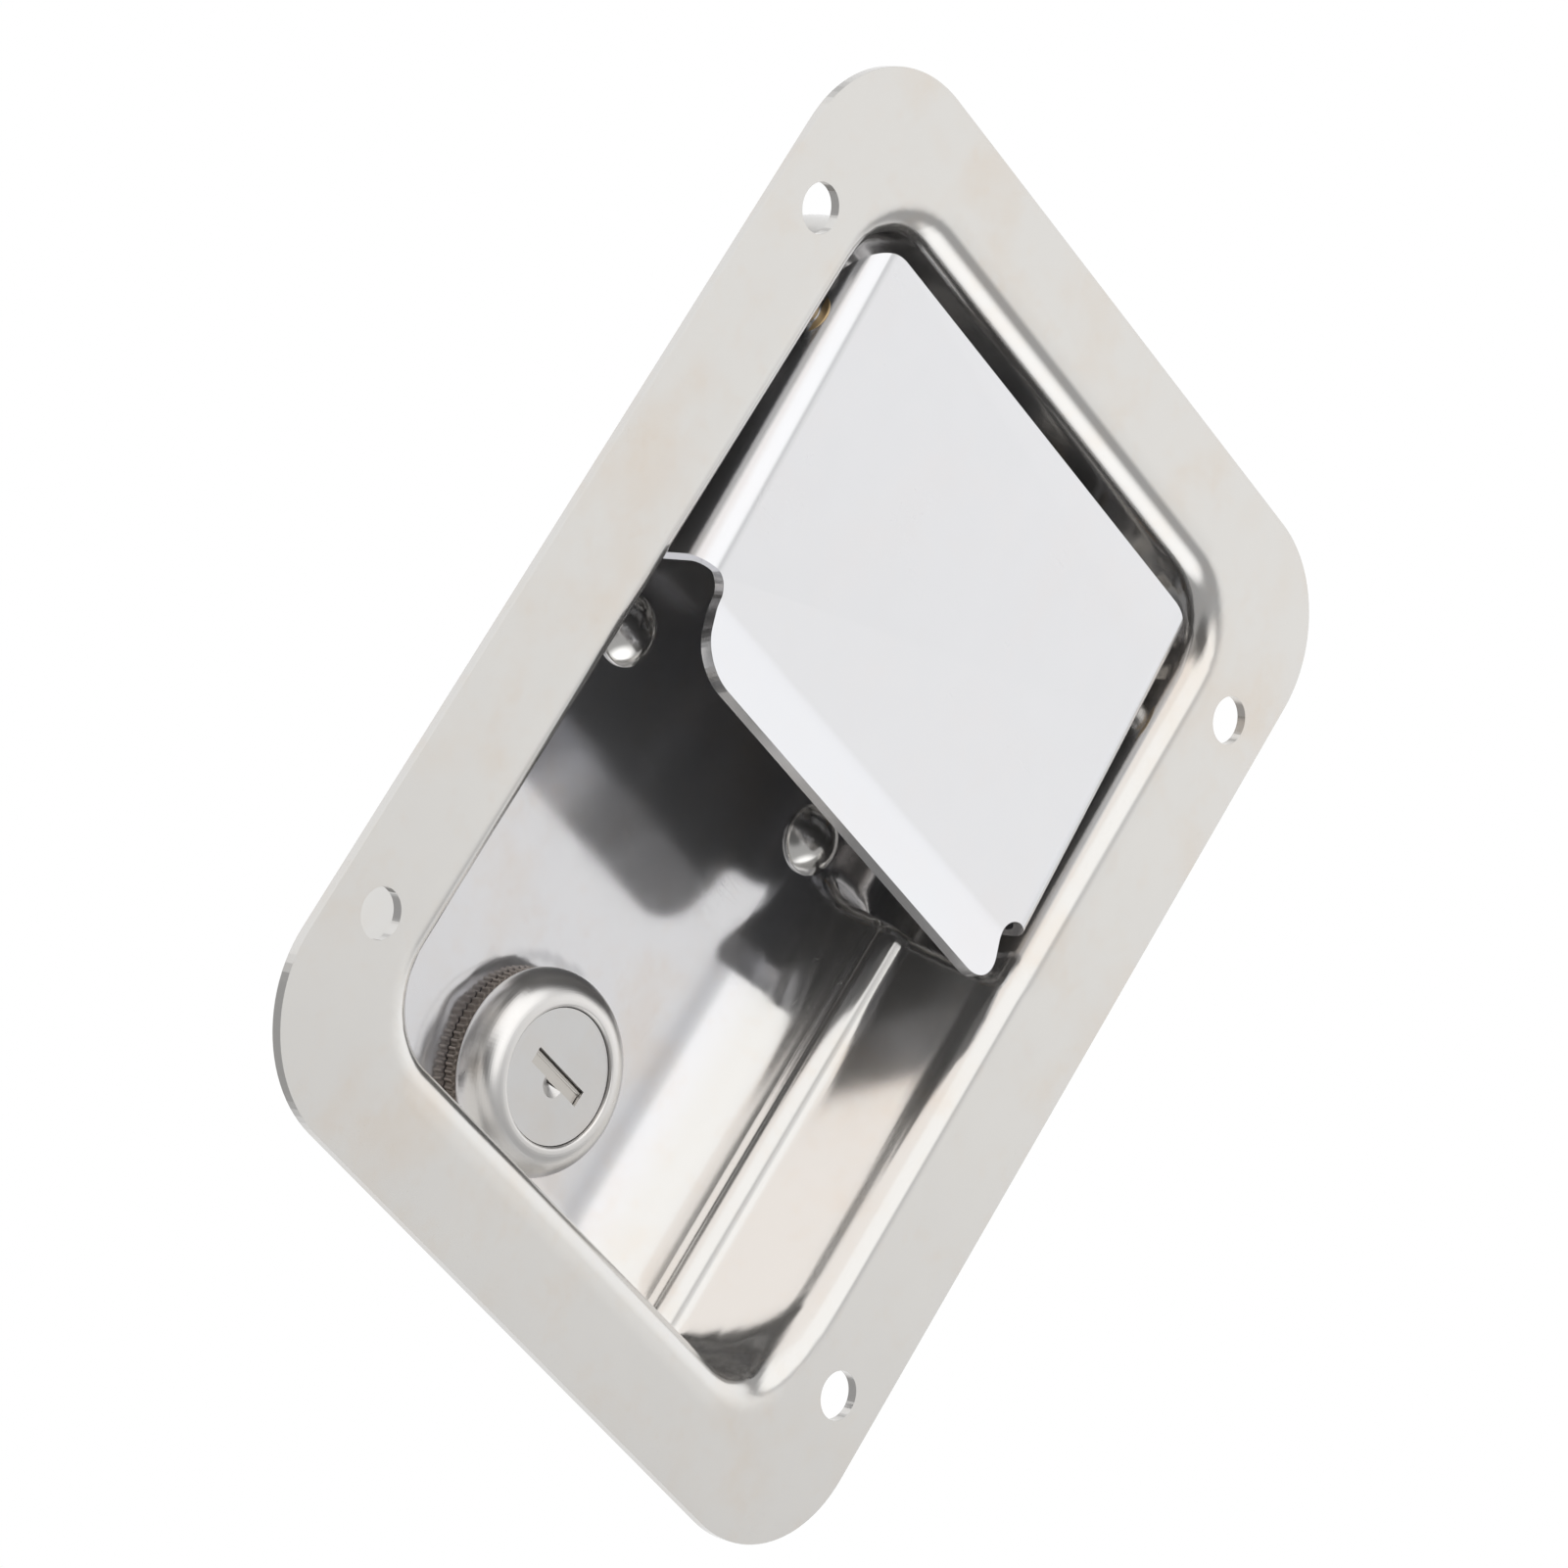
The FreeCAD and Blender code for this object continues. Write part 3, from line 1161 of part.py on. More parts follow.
def make_cam(groove_end, shaft_end):
    """Joggled cam on the square shaft, with its washer and screw. It lies to the right, unlocked."""
    cam = new_body("lock_cam")
    seat = groove_end + size.running_gap * 2
    back = seat + size.cam_thick
    half = size.cam_width / 2
    knee = size.barrel_diameter / 2 + size.cam_thick * 0.8
    toe = knee + size.cam_joggle * 0.8
    low = seat - size.cam_joggle
    sketch = sketch_on(cam, "XY_Plane", "cam_side_profile", 0)
    draw_polygon(sketch, [(-half, seat), (knee, seat), (toe, low), (size.cam_reach, low),
                          (size.cam_reach, low + size.cam_thick),
                          (toe + size.cam_thick * 0.5, low + size.cam_thick),
                          (knee + size.cam_thick * 0.5, back), (-half, back)])
    plate = pad(cam, sketch, "cam_strip", size.cam_width, both_ways=True)
    ends = edges_at(plate, lambda middle, box: box.YLength > 0.5 and box.XLength < 0.01
                    and (same(middle.x, -half) or same(middle.x, size.cam_reach)))
    fillet(cam, ends, half * 0.75, "cam_ends")
    sketch = sketch_on(cam, "XZ_Plane", "cam_hole", seat)
    hole = size.square_shaft / 2 + size.running_gap
    draw_outline(sketch, rectangle(-hole, hole, -hole, hole))
    pocket(cam, sketch, "cam_hole_cut", size.cam_thick * 4, both_ways=True)
    at_lock(cam)
    node(cam, "lock_cam")

    washer_seat = shaft_end
    washer = turned("cam_washer", ring_profile(size.screw_diameter / 2 + size.ring_gap,
                                               size.screw_head / 2 + 1,
                                               washer_seat, washer_seat + size.clip_thick))
    at_lock(washer)
    node(washer, "cam_washer")

    head_seat = washer_seat + size.clip_thick
    head = size.screw_head / 2
    screw = turned("cam_screw", [(0, washer_seat - size.shaft_length),
                                 (size.screw_diameter / 2 - size.running_gap,
                                  washer_seat - size.shaft_length),
                                 (size.screw_diameter / 2 - size.running_gap, head_seat), (head, head_seat),
                                 (head, head_seat + size.screw_head_thick),
                                 (0, head_seat + size.screw_head_thick)])
    crown = edges_at(screw.Tip, lambda middle, box: same(box.YMin, head_seat + size.screw_head_thick)
                     and box.XLength > 1)
    fillet(screw, crown, size.screw_head_thick * 0.4, "screw_crown")
    sketch = sketch_on(screw, "XZ_Plane", "driver_slot", head_seat + size.screw_head_thick)
    draw_outline(sketch, rectangle(-head * 1.1, head * 1.1, -size.clip_thick * 0.7, size.clip_thick * 0.7))
    pocket(screw, sketch, "driver_slot_cut", size.screw_head_thick * 0.45, backwards=True)
    at_lock(screw)
    node(screw, "cam_screw")


make_pan()
make_pivot()
make_paddle()
make_bushes()
make_lever()
make_return_springs()
make_housing()
make_rivets()
make_bolt()
make_tail_rod()
make_bolt_spring()
make_lock_body()
make_collar()
make_lock_fixings()
plug_groove_end, plug_shaft_end = make_plug()
make_shutter()
make_wafers()
make_cam(plug_groove_end, plug_shaft_end)
doc.recompute()

for thing in doc.Objects:
    if "Invalid" in thing.State or "Error" in thing.State:
        raise RuntimeError(thing.Name + " failed: " + ", ".join(thing.State))
for thing in NODES:
    if thing.Shape.isNull() or not thing.Shape.isValid():
        raise RuntimeError(thing.Label + " has no valid shape")

os.makedirs("parts", exist_ok=True)
for thing in NODES:
    thing.Shape.exportStep("parts/" + thing.Label + ".step")
    box = thing.Shape.BoundBox
    print("%-16s solids %d  x %.1f..%.1f  y %.1f..%.1f  z %.1f..%.1f" % (
        thing.Label, len(thing.Shape.Solids), box.XMin, box.XMax, box.YMin, box.YMax, box.ZMin, box.ZMax))
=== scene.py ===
"""Looks of the paddle latch: detailed pieces, procedural metals, light and camera around the CAD frame.

Lengths are in millimetres in the part's frame (x right, y into the panel, z up) until a mesh is
finished, which scales it to metres.
"""

import json
import logging
import math
from dataclasses import dataclass, field
from enum import Enum
from typing import Callable, Dict, List, Optional, Sequence, Tuple

import bmesh
import bpy
import numpy as np
from mathutils import Matrix, Vector
from mathutils.geometry import delaunay_2d_cdt


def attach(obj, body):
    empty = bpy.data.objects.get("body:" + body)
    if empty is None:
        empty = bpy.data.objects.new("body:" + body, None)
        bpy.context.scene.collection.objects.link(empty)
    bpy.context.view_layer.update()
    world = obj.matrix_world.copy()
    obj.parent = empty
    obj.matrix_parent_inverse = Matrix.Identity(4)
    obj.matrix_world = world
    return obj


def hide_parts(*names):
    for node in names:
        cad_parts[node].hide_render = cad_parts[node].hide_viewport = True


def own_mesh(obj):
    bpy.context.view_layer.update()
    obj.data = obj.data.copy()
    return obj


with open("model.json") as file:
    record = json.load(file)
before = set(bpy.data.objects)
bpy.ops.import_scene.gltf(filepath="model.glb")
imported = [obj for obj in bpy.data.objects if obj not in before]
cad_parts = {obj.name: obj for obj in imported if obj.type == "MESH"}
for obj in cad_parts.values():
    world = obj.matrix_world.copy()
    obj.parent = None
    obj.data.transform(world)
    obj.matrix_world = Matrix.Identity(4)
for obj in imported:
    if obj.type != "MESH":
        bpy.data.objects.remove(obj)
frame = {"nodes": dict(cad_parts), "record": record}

LOG = logging.getLogger("paddle_latch")
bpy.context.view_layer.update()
MM = 0.001
MICROMETRE = 1e-6
Point = Tuple[float, float, float]
Colour = Tuple[float, float, float]


# Finishes


class Lay(Enum):
    """Direction in which a surface was brushed or rolled."""

    NONE = (1.0, 1.0, 1.0)
    ALONG_X = (0.04, 1.0, 1.0)
    ALONG_Z = (1.0, 1.0, 0.04)


@dataclass(frozen=True)
class Metal:
    """What a metal surface looks like.

    Args:
        name: material name.
        colour: linear base colour.
        stain: linear colour that blotches pull the base towards.
        stain_amount: largest share of the stain colour.
        roughness: mean roughness.
        spread: how far the roughness varies to both sides.
        grain: height of the fine grain in micrometres on flat areas.
        bend_grain: height of the grain where the sheet was drawn.
        scratches: how much the fine scratches show, 0 to 1.
        lay: brushing direction.
        lay_depth: height of the brushing lines in micrometres.
        speckle: how much tiny dark and bright specks show, 0 to 1.
        wave: height in micrometres of slow waves in the sheet.
        haze: share of the light that the finest scratches scatter.
        painted_floor_light: linear base colour at the dish floor's depth, where it differs; a paler, cooler
            painted light that stands for what the floor reflects.
    """

    name: str
    colour: Colour
    stain: Colour = (0.62, 0.52, 0.42)
    stain_amount: float = 0.10
    roughness: float = 0.2
    spread: float = 0.05
    grain: float = 1.5
    bend_grain: float = 0.0
    scratches: float = 0.3
    lay: Lay = Lay.NONE
    lay_depth: float = 0.0
    speckle: float = 0.0
    wave: float = 0.0
    haze: float = 0.06
    painted_floor_light: Optional[Colour] = None


@dataclass(frozen=True)
class Noise:
    """Settings of one noise texture.

    Args:
        scale: patches per millimetre.
        detail: number of finer octaves.
        roughness: strength of each octave beside the one before.
        levels: values between which it rises smoothly from 0 to 1, or None to leave it as it is.
    """

    scale: float
    detail: float = 2.0
    roughness: float = 0.5
    levels: Optional[Tuple[float, float]] = None


class Graph:
    """Small helper that adds and joins shader nodes."""

    def __init__(self, tree: bpy.types.NodeTree) -> None:
        """Empties a node tree and keeps it."""
        self.tree = tree
        tree.nodes.clear()

    def add(self, kind: str, inputs: Optional[Dict[str, object]] = None,
            **settings: object) -> bpy.types.Node:
        """Adds a node, sets its properties, and sets or links its inputs.

        Args:
            kind: node type without the ShaderNode prefix.
            inputs: socket name or index to a value, or to an output socket to link.
            settings: node properties.

        Returns:
            The new node.
        """
        node = self.tree.nodes.new("ShaderNode" + kind)
        for name, value in settings.items():
            setattr(node, name, value)
        for name, value in (inputs or {}).items():
            socket = node.inputs[name]
            if isinstance(value, bpy.types.NodeSocket):
                self.tree.links.new(value, socket)
            else:
                socket.default_value = value
        return node

    def maths(self, operation: str, first: object, second: object = 0.0, clamp: bool = False) -> object:
        """Adds a Math node and returns its output."""
        return self.add("Math", {0: first, 1: second}, operation=operation, use_clamp=clamp).outputs[0]

    def spread(self, value: object, low: float, high: float) -> object:
        """Rises smoothly from 0 at the low value to 1 at the high one, and returns the output."""
        node = self.add("MapRange", {"Value": value, "From Min": low, "From Max": high},
                        interpolation_type="SMOOTHSTEP")
        return node.outputs["Result"]

    def noise(self, where: object, noise: Noise) -> object:
        """Adds a Noise Texture.

        Args:
            where: coordinates that it reads.
            noise: its settings.

        Returns:
            Its value, levelled where the settings ask for it.
        """
        node = self.add("TexNoise", {"Vector": where, "Scale": noise.scale, "Detail": noise.detail,
                                     "Roughness": noise.roughness})
        value = node.outputs["Fac"]
        return self.spread(value, *noise.levels) if noise.levels else value

    def map(self, where: object, **change: Point) -> object:
        """Turns or stretches coordinates.

        Args:
            where: the coordinates.
            change: rotation in radians, scale, or both.

        Returns:
            The changed coordinates.
        """
        inputs = {"Vector": where, **{name.title(): value for name, value in change.items()}}
        return self.add("Mapping", inputs).outputs["Vector"]

    def mix(self, share: object, first: object, second: object) -> object:
        """Mixes two colours.

        Args:
            share: how much of the second shows, 0 to 1.
            first: the first colour.
            second: the second colour.

        Returns:
            The mixed colour.
        """
        node = self.add("Mix", data_type="RGBA")
        for index, value in ((0, share), (6, first), (7, second)):
            socket = node.inputs[index]
            if isinstance(value, bpy.types.NodeSocket):
                self.tree.links.new(value, socket)
            else:
                socket.default_value = value
        return node.outputs[2]


def opaque(colour: Colour) -> Tuple[float, float, float, float]:
    """Adds a full alpha to a colour."""
    return (*colour, 1.0)


class MetalMaterial:
    """Procedural material of one metal finish.

    Its patterns read Object coordinates in millimetres, and the bend attribute where a piece has one.
    """

    blotches: Noise = Noise(0.055, 4.0, 0.6, (0.46, 0.72))
    spots: Noise = Noise(0.35, 3.0, 0.6, (0.50, 0.75))
    spot_share: float = 0.35
    # Depths over which the dish floor's painted light takes over from the clean colour.
    painted_light_depths: Tuple[float, float] = (17.5, 20.5)
    scratch_lines: Noise = Noise(1.6, 1.0, 0.4)
    scratch_ways: Tuple[Tuple[Point, Point], ...] = (
        ((0.2, 0.5, 0.9), (0.07, 1.3, 1.1)),
        ((0.4, -0.3, -0.5), (0.9, 1.2, 0.05)),
    )
    scratch_width: float = 0.004
    scratch_roughness: float = 0.22
    scratch_depth: float = 1.5
    worn_patches: Noise = Noise(0.12, levels=(0.52, 0.66))
    specks_per_mm: float = 0.9
    speck_edges: Tuple[float, float] = (0.10, 0.04)
    speck_darkness: float = 0.35
    clouds: Noise = Noise(0.16, 4.0, 0.6)
    bend_roughness: float = 0.06
    grain: Noise = Noise(2.4, 2.0, 0.6)
    lay_lines: Noise = Noise(5.0)
    waves: Noise = Noise(0.045, 1.0)

    def __init__(self, metal: Metal) -> None:
        """Starts the material.

        Args:
            metal: the finish.
        """
        self.metal = metal
        self.material = bpy.data.materials.new(metal.name)
        self.material.use_nodes = True
        self.graph = Graph(self.material.node_tree)
        place = self.graph.add("TexCoord").outputs["Object"]
        self.where = self.graph.map(place, scale=(1.0 / MM, 1.0 / MM, 1.0 / MM))
        self.bend = self.graph.add("Attribute", attribute_name="bend").outputs["Fac"]
        self.scratch = self.scratches()

    def scratches(self) -> object:
        """Thin lines of stretched noise in two directions, where the surface is worn."""
        graph = self.graph
        found = None
        for turn, stretch in self.scratch_ways:
            lines = graph.map(self.where, rotation=turn, scale=stretch)
            off = graph.maths("SUBTRACT", graph.noise(lines, self.scratch_lines), 0.5)
            thin = graph.spread(graph.maths("ABSOLUTE", off), self.scratch_width, 0.0)
            patchy = graph.maths("MULTIPLY", thin, graph.noise(self.where, self.worn_patches))
            found = patchy if found is None else graph.maths("MAXIMUM", found, patchy)
        return graph.maths("MULTIPLY", found, self.metal.scratches)

    def base(self) -> object:
        """Clean colour, with a paler, cooler painted light on the dish floor where the finish has one."""
        plain = opaque(self.metal.colour)
        if not self.metal.painted_floor_light:
            return plain
        # Painted light: past these depths the same sheet takes a paler, cooler colour.
        depth = self.graph.add("SeparateXYZ", {"Vector": self.where}).outputs["Y"]
        return self.graph.mix(self.graph.spread(depth, *self.painted_light_depths), plain, opaque(self.metal.painted_floor_light))

    def colour(self) -> object:
        """Colour with its stains and specks."""
        graph, metal = self.graph, self.metal
        spots = graph.maths("MULTIPLY", graph.noise(self.where, self.spots), self.spot_share)
        both = graph.maths("ADD", graph.noise(self.where, self.blotches), spots)
        stained = graph.mix(graph.maths("MULTIPLY", both, metal.stain_amount, True), self.base(),
                            opaque(metal.stain))
        cells = graph.add("TexVoronoi", {"Vector": self.where, "Scale": self.specks_per_mm})
        speck = graph.spread(cells.outputs["Distance"], *self.speck_edges)
        dark = opaque(tuple(self.speck_darkness * part for part in metal.colour))
        return graph.mix(graph.maths("MULTIPLY", speck, metal.speckle), stained, dark)

    def roughness(self) -> object:
        """Roughness that varies in clouds and rises in scratches and on drawn bends."""
        graph, metal = self.graph, self.metal
        clouds = graph.maths("MULTIPLY", graph.noise(self.where, self.clouds), 2.0 * metal.spread)
        rough = graph.maths("ADD", metal.roughness - metal.spread, clouds)
        rough = graph.maths("ADD", rough, graph.maths("MULTIPLY", self.scratch, self.scratch_roughness))
        drawn = self.bend_roughness if metal.bend_grain else 0.0
        return graph.maths("ADD", rough, graph.maths("MULTIPLY", self.bend, drawn))

    def height(self) -> object:
        """Height in micrometres of the grain, brushing lines, waves and scratches."""
        graph, metal = self.graph, self.metal
        grain = graph.maths("ADD", metal.grain, graph.maths("MULTIPLY", self.bend, metal.bend_grain))
        height = graph.maths("MULTIPLY", graph.noise(self.where, self.grain), grain)
        if metal.lay_depth:
            brushed = graph.map(self.where, scale=metal.lay.value)
            lines = graph.maths("MULTIPLY", graph.noise(brushed, self.lay_lines), metal.lay_depth)
            height = graph.maths("ADD", height, lines)
        if metal.wave:
            waves = graph.maths("MULTIPLY", graph.noise(self.where, self.waves), metal.wave)
            height = graph.maths("ADD", height, waves)
        return graph.maths("SUBTRACT", height, graph.maths("MULTIPLY", self.scratch, self.scratch_depth))

    def build(self) -> bpy.types.Material:
        """Joins the parts of the material.

        Returns:
            The material.
        """
        bump = self.graph.add("Bump", {"Height": self.height(), "Strength": 1.0, "Distance": MICROMETRE})
        shader = self.graph.add("BsdfPrincipled", {
            "Base Color": self.colour(), "Metallic": 1.0 - self.metal.haze,
            "Roughness": self.roughness(), "Normal": bump.outputs["Normal"]})
        self.graph.add("OutputMaterial", {"Surface": shader.outputs["BSDF"]})
        return self.material


# The pan's floor colour is painted light: the same sheet is made paler and cooler on the dish floor than on
# the flange.
PAN_STEEL = Metal("pan_steel", (0.64, 0.63, 0.615), roughness=0.12, spread=0.05, grain=0.5, bend_grain=2.5,
                  scratches=0.5, speckle=0.12, wave=55.0, stain_amount=0.30, haze=0.12,
                  painted_floor_light=(0.66, 0.66, 0.68))
PADDLE_STEEL = Metal("paddle_steel", (0.665, 0.67, 0.69), roughness=0.16, grain=0.5, bend_grain=2.0,
                     scratches=0.5, stain_amount=0.10, wave=20.0, stain=(0.70, 0.62, 0.58))
RIVET_STEEL = Metal("rivet_steel", (0.76, 0.75, 0.73), roughness=0.16, grain=0.8, scratches=0.5)
PIN_STEEL = Metal("pin_steel", (0.60, 0.60, 0.60), roughness=0.28, grain=1.0, scratches=0.4)
SPRING_STEEL = Metal("spring_steel", (0.46, 0.46, 0.47), roughness=0.30, grain=1.0, lay_depth=1.0)
FORGED_STEEL = Metal("forged_steel", (0.48, 0.47, 0.46), roughness=0.42, grain=6.0, spread=0.08)
ZINC_STEEL = Metal("zinc_steel", (0.62, 0.63, 0.65), roughness=0.34, grain=2.0, spread=0.08, scratches=0.6,
                   lay=Lay.ALONG_Z, lay_depth=1.5, stain=(0.60, 0.58, 0.50), stain_amount=0.25)
BUSH_BRONZE = Metal("bush_bronze", (0.55, 0.40, 0.22), roughness=0.45, grain=4.0)
LOCK_CHROME = Metal("lock_chrome", (0.72, 0.71, 0.70), roughness=0.29, grain=0.8, scratches=0.4)
PLUG_NICKEL = Metal("plug_nickel", (0.65, 0.65, 0.65), roughness=0.36, grain=2.0, scratches=0.8,
                    lay=Lay.ALONG_X, lay_depth=1.2, stain_amount=0.2)
SHUTTER_NICKEL = Metal("shutter_nickel", (0.56, 0.54, 0.51), roughness=0.30, grain=1.5, scratches=0.5)
# The collar's dark brown colour is painted shade: it stands for the shadow on the collar between the lock's
# head and the dish floor.
COLLAR_PAINTED_SHADE = Metal("collar_painted_shade", (0.34, 0.30, 0.27), roughness=0.42, grain=2.0, speckle=0.1)
WAFER_BRASS = Metal("wafer_brass", (0.62, 0.46, 0.20), roughness=0.30, grain=1.5)

SLOT_METALS: Dict[str, Metal] = {
    metal.name: metal
    for metal in (PAN_STEEL, PADDLE_STEEL, RIVET_STEEL, PIN_STEEL, SPRING_STEEL, FORGED_STEEL, ZINC_STEEL,
                  BUSH_BRONZE, LOCK_CHROME, PLUG_NICKEL, SHUTTER_NICKEL, WAFER_BRASS, COLLAR_PAINTED_SHADE)
}
NODE_SLOTS: Dict[str, str] = {entry["node"]: entry["material_slot"] for entry in frame["record"]["subparts"]}
# The collar wears the painted-shade finish instead of its slot's metal.
PIECE_METALS: Dict[str, str] = {"toothed_collar": "collar_painted_shade"}
NODE_BODIES: Dict[str, str] = {
    node: body for body, nodes in frame["record"]["behaviour"]["bodies"].items() for node in nodes
}


class Wardrobe:
    """Makes each material once and hands it out."""

    def __init__(self) -> None:
        """Starts with no material made."""
        self.made: Dict[str, bpy.types.Material] = {}

    def get(self, slot: str) -> bpy.types.Material:
        """Returns the material of a slot, building it the first time."""
        if slot not in self.made:
            self.made[slot] = MetalMaterial(SLOT_METALS[slot]).build()
        return self.made[slot]


# Mesh helpers


@dataclass
class Piece:
    """One finished piece that stands for a CAD node.

    Args:
        node: the CAD node it replaces.
        wardrobe: where its material comes from.
    """

    node: str
    wardrobe: Wardrobe

    def finish(self, mesh: bmesh.types.BMesh, scale: float = MM) -> bpy.types.Object:
        """Turns a mesh into an object in metres, with its body, slot and material.

        Args:
            mesh: the mesh, which is freed. Tagged faces are left flat and the others made smooth.
            scale: metres per unit of the mesh.

        Returns:
            The object.
        """
        bmesh.ops.scale(mesh, vec=(scale, scale, scale), verts=mesh.verts)
        for face in mesh.faces:
            face.smooth = not face.tag
        data = bpy.data.meshes.new(self.node + "_mesh")
        mesh.to_mesh(data)
        mesh.free()
        thing = bpy.data.objects.new(self.node + "_visual", data)
        bpy.context.scene.collection.objects.link(thing)
        data.materials.append(self.wardrobe.get(PIECE_METALS.get(self.node, NODE_SLOTS[self.node])))
        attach(thing, NODE_BODIES[self.node])
        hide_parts(self.node)
        return thing

    @staticmethod
    def edge_roll(thing: bpy.types.Object, width: float) -> None:
        """Rounds the sharp edges of an object a little.

        Args:
            thing: the object.
            width: width of the rounding in millimetres.
        """
        bevel = thing.modifiers.new("edge_roll", "BEVEL")
        bevel.limit_method = "ANGLE"
        bevel.angle_limit = math.radians(50.0)
        bevel.width = width * MM
        bevel.segments = 2
        bevel.harden_normals = True
        bevel.use_clamp_overlap = True

    @staticmethod
    def thicken(thing: bpy.types.Object, thickness: float) -> None:
        """Gives a skin its sheet thickness behind its faces.

        Args:
            thing: the object.
            thickness: thickness in millimetres, away from the face normals.
        """
        solidify = thing.modifiers.new("sheet", "SOLIDIFY")
        solidify.thickness = thickness * MM
        solidify.offset = -1.0
        solidify.use_even_offset = False


@dataclass
class RefinedCopy(Piece):
    """A CAD node's own shape with joined faces and rolled edges.

    Args:
        roll: width of the rolled edges in millimetres.
        merge: reach in metres within which corners are one.
        flat_angle: degrees below which two faces are one flat.
        sharp_angle: degrees from which an edge is rolled.
    """

    roll: float = 0.12
    merge: float = 2e-6
    flat_angle: float = 0.6
    sharp_angle: float = 40.0

    def build(self) -> bpy.types.Object:
        """Builds the piece.

        Returns:
            The object.
        """
        mesh = bmesh.new()
        mesh.from_mesh(frame["nodes"][self.node].data)
        bmesh.ops.remove_doubles(mesh, verts=mesh.verts, dist=self.merge)
        bmesh.ops.dissolve_limit(mesh, angle_limit=math.radians(self.flat_angle), verts=mesh.verts,
                                 edges=mesh.edges)
        sharp = [edge for edge in mesh.edges
                 if len(edge.link_faces) == 2 and edge.calc_face_angle(0.0) > math.radians(self.sharp_angle)]
        if sharp:
            bmesh.ops.bevel(mesh, geom=sharp, offset=self.roll * MM, offset_type="OFFSET", segments=2,
                            profile=0.5, affect="EDGES", clamp_overlap=True, material=-1)
        bmesh.ops.recalc_face_normals(mesh, faces=mesh.faces)
        return self.finish(mesh, 1.0)


def spin_profile(profile: Sequence[Tuple[float, float]], centre: Point, steps: int) -> bmesh.types.BMesh:
    """Spins a profile about an axis along Y.

    Args:
        profile: (radius, y) points in order.
        centre: a point of the axis, whose y is added to the profile's.
        steps: steps round the axis.

    Returns:
        The mesh in millimetres.
    """
    mesh = bmesh.new()
    points = [mesh.verts.new((centre[0] + radius, centre[1] + y, centre[2])) for radius, y in profile]
    edges = [mesh.edges.new(pair) for pair in zip(points, points[1:])]
    bmesh.ops.spin(mesh, geom=points + edges, cent=centre, axis=(0.0, 1.0, 0.0), angle=2.0 * math.pi,
                   steps=steps, use_merge=True)
    bmesh.ops.remove_doubles(mesh, verts=mesh.verts, dist=1e-4)
    bmesh.ops.recalc_face_normals(mesh, faces=mesh.faces)
    return mesh


def arc_points(centre: Tuple[float, float], radii: Tuple[float, float], start: float, end: float,
               steps: int) -> List[Tuple[float, float]]:
    """Points on an arc of an ellipse.

    Args:
        centre: its middle.
        radii: its half axes.
        start: angle of the first point in degrees.
        end: angle of the last point in degrees.
        steps: steps between them.

    Returns:
        The points, both ends included.
    """
    angles = [math.radians(start + (end - start) * k / steps) for k in range(steps + 1)]
    return [(centre[0] + radii[0] * math.cos(a), centre[1] + radii[1] * math.sin(a)) for a in angles]


def join(mesh: bmesh.types.BMesh, other: bmesh.types.BMesh) -> None:
    """Adds a second mesh to the first.

    Args:
        mesh: the first mesh.
        other: the second mesh, which is freed.
    """
    data = bpy.data.meshes.new("joined")
    other.to_mesh(data)
    other.free()
    mesh.from_mesh(data)
    bpy.data.meshes.remove(data)


# Pan


MARCH_STEPS = 160


def ease(value: np.ndarray, ends: Tuple[float, float]) -> np.ndarray:
    """Rises in a straight line from 0 at the first end to 1 at the second, whichever is larger."""
    return np.clip((value - ends[0]) / (ends[1] - ends[0]), 0.0, 1.0)


def smooth(share: np.ndarray) -> np.ndarray:
    """Rounds off the start and the end of a straight rise."""
    return share * share * (3.0 - 2.0 * share)


def round_both(first: np.ndarray, second: np.ndarray, radius: float) -> np.ndarray:
    """Distance to what two forms share, with their meeting edge rounded."""
    inside = np.maximum(np.stack([first + radius, second + radius]), 0.0)
    return np.minimum(-radius, np.maximum(first, second)) + np.sqrt((inside ** 2).sum(axis=0))


def round_either(first: np.ndarray, second: np.ndarray, radius: float) -> np.ndarray:
    """Distance to two forms together, with their meeting edge rounded."""
    inside = np.maximum(np.stack([radius - first, radius - second]), 0.0)
    return np.maximum(radius, np.minimum(first, second)) - np.sqrt((inside ** 2).sum(axis=0))


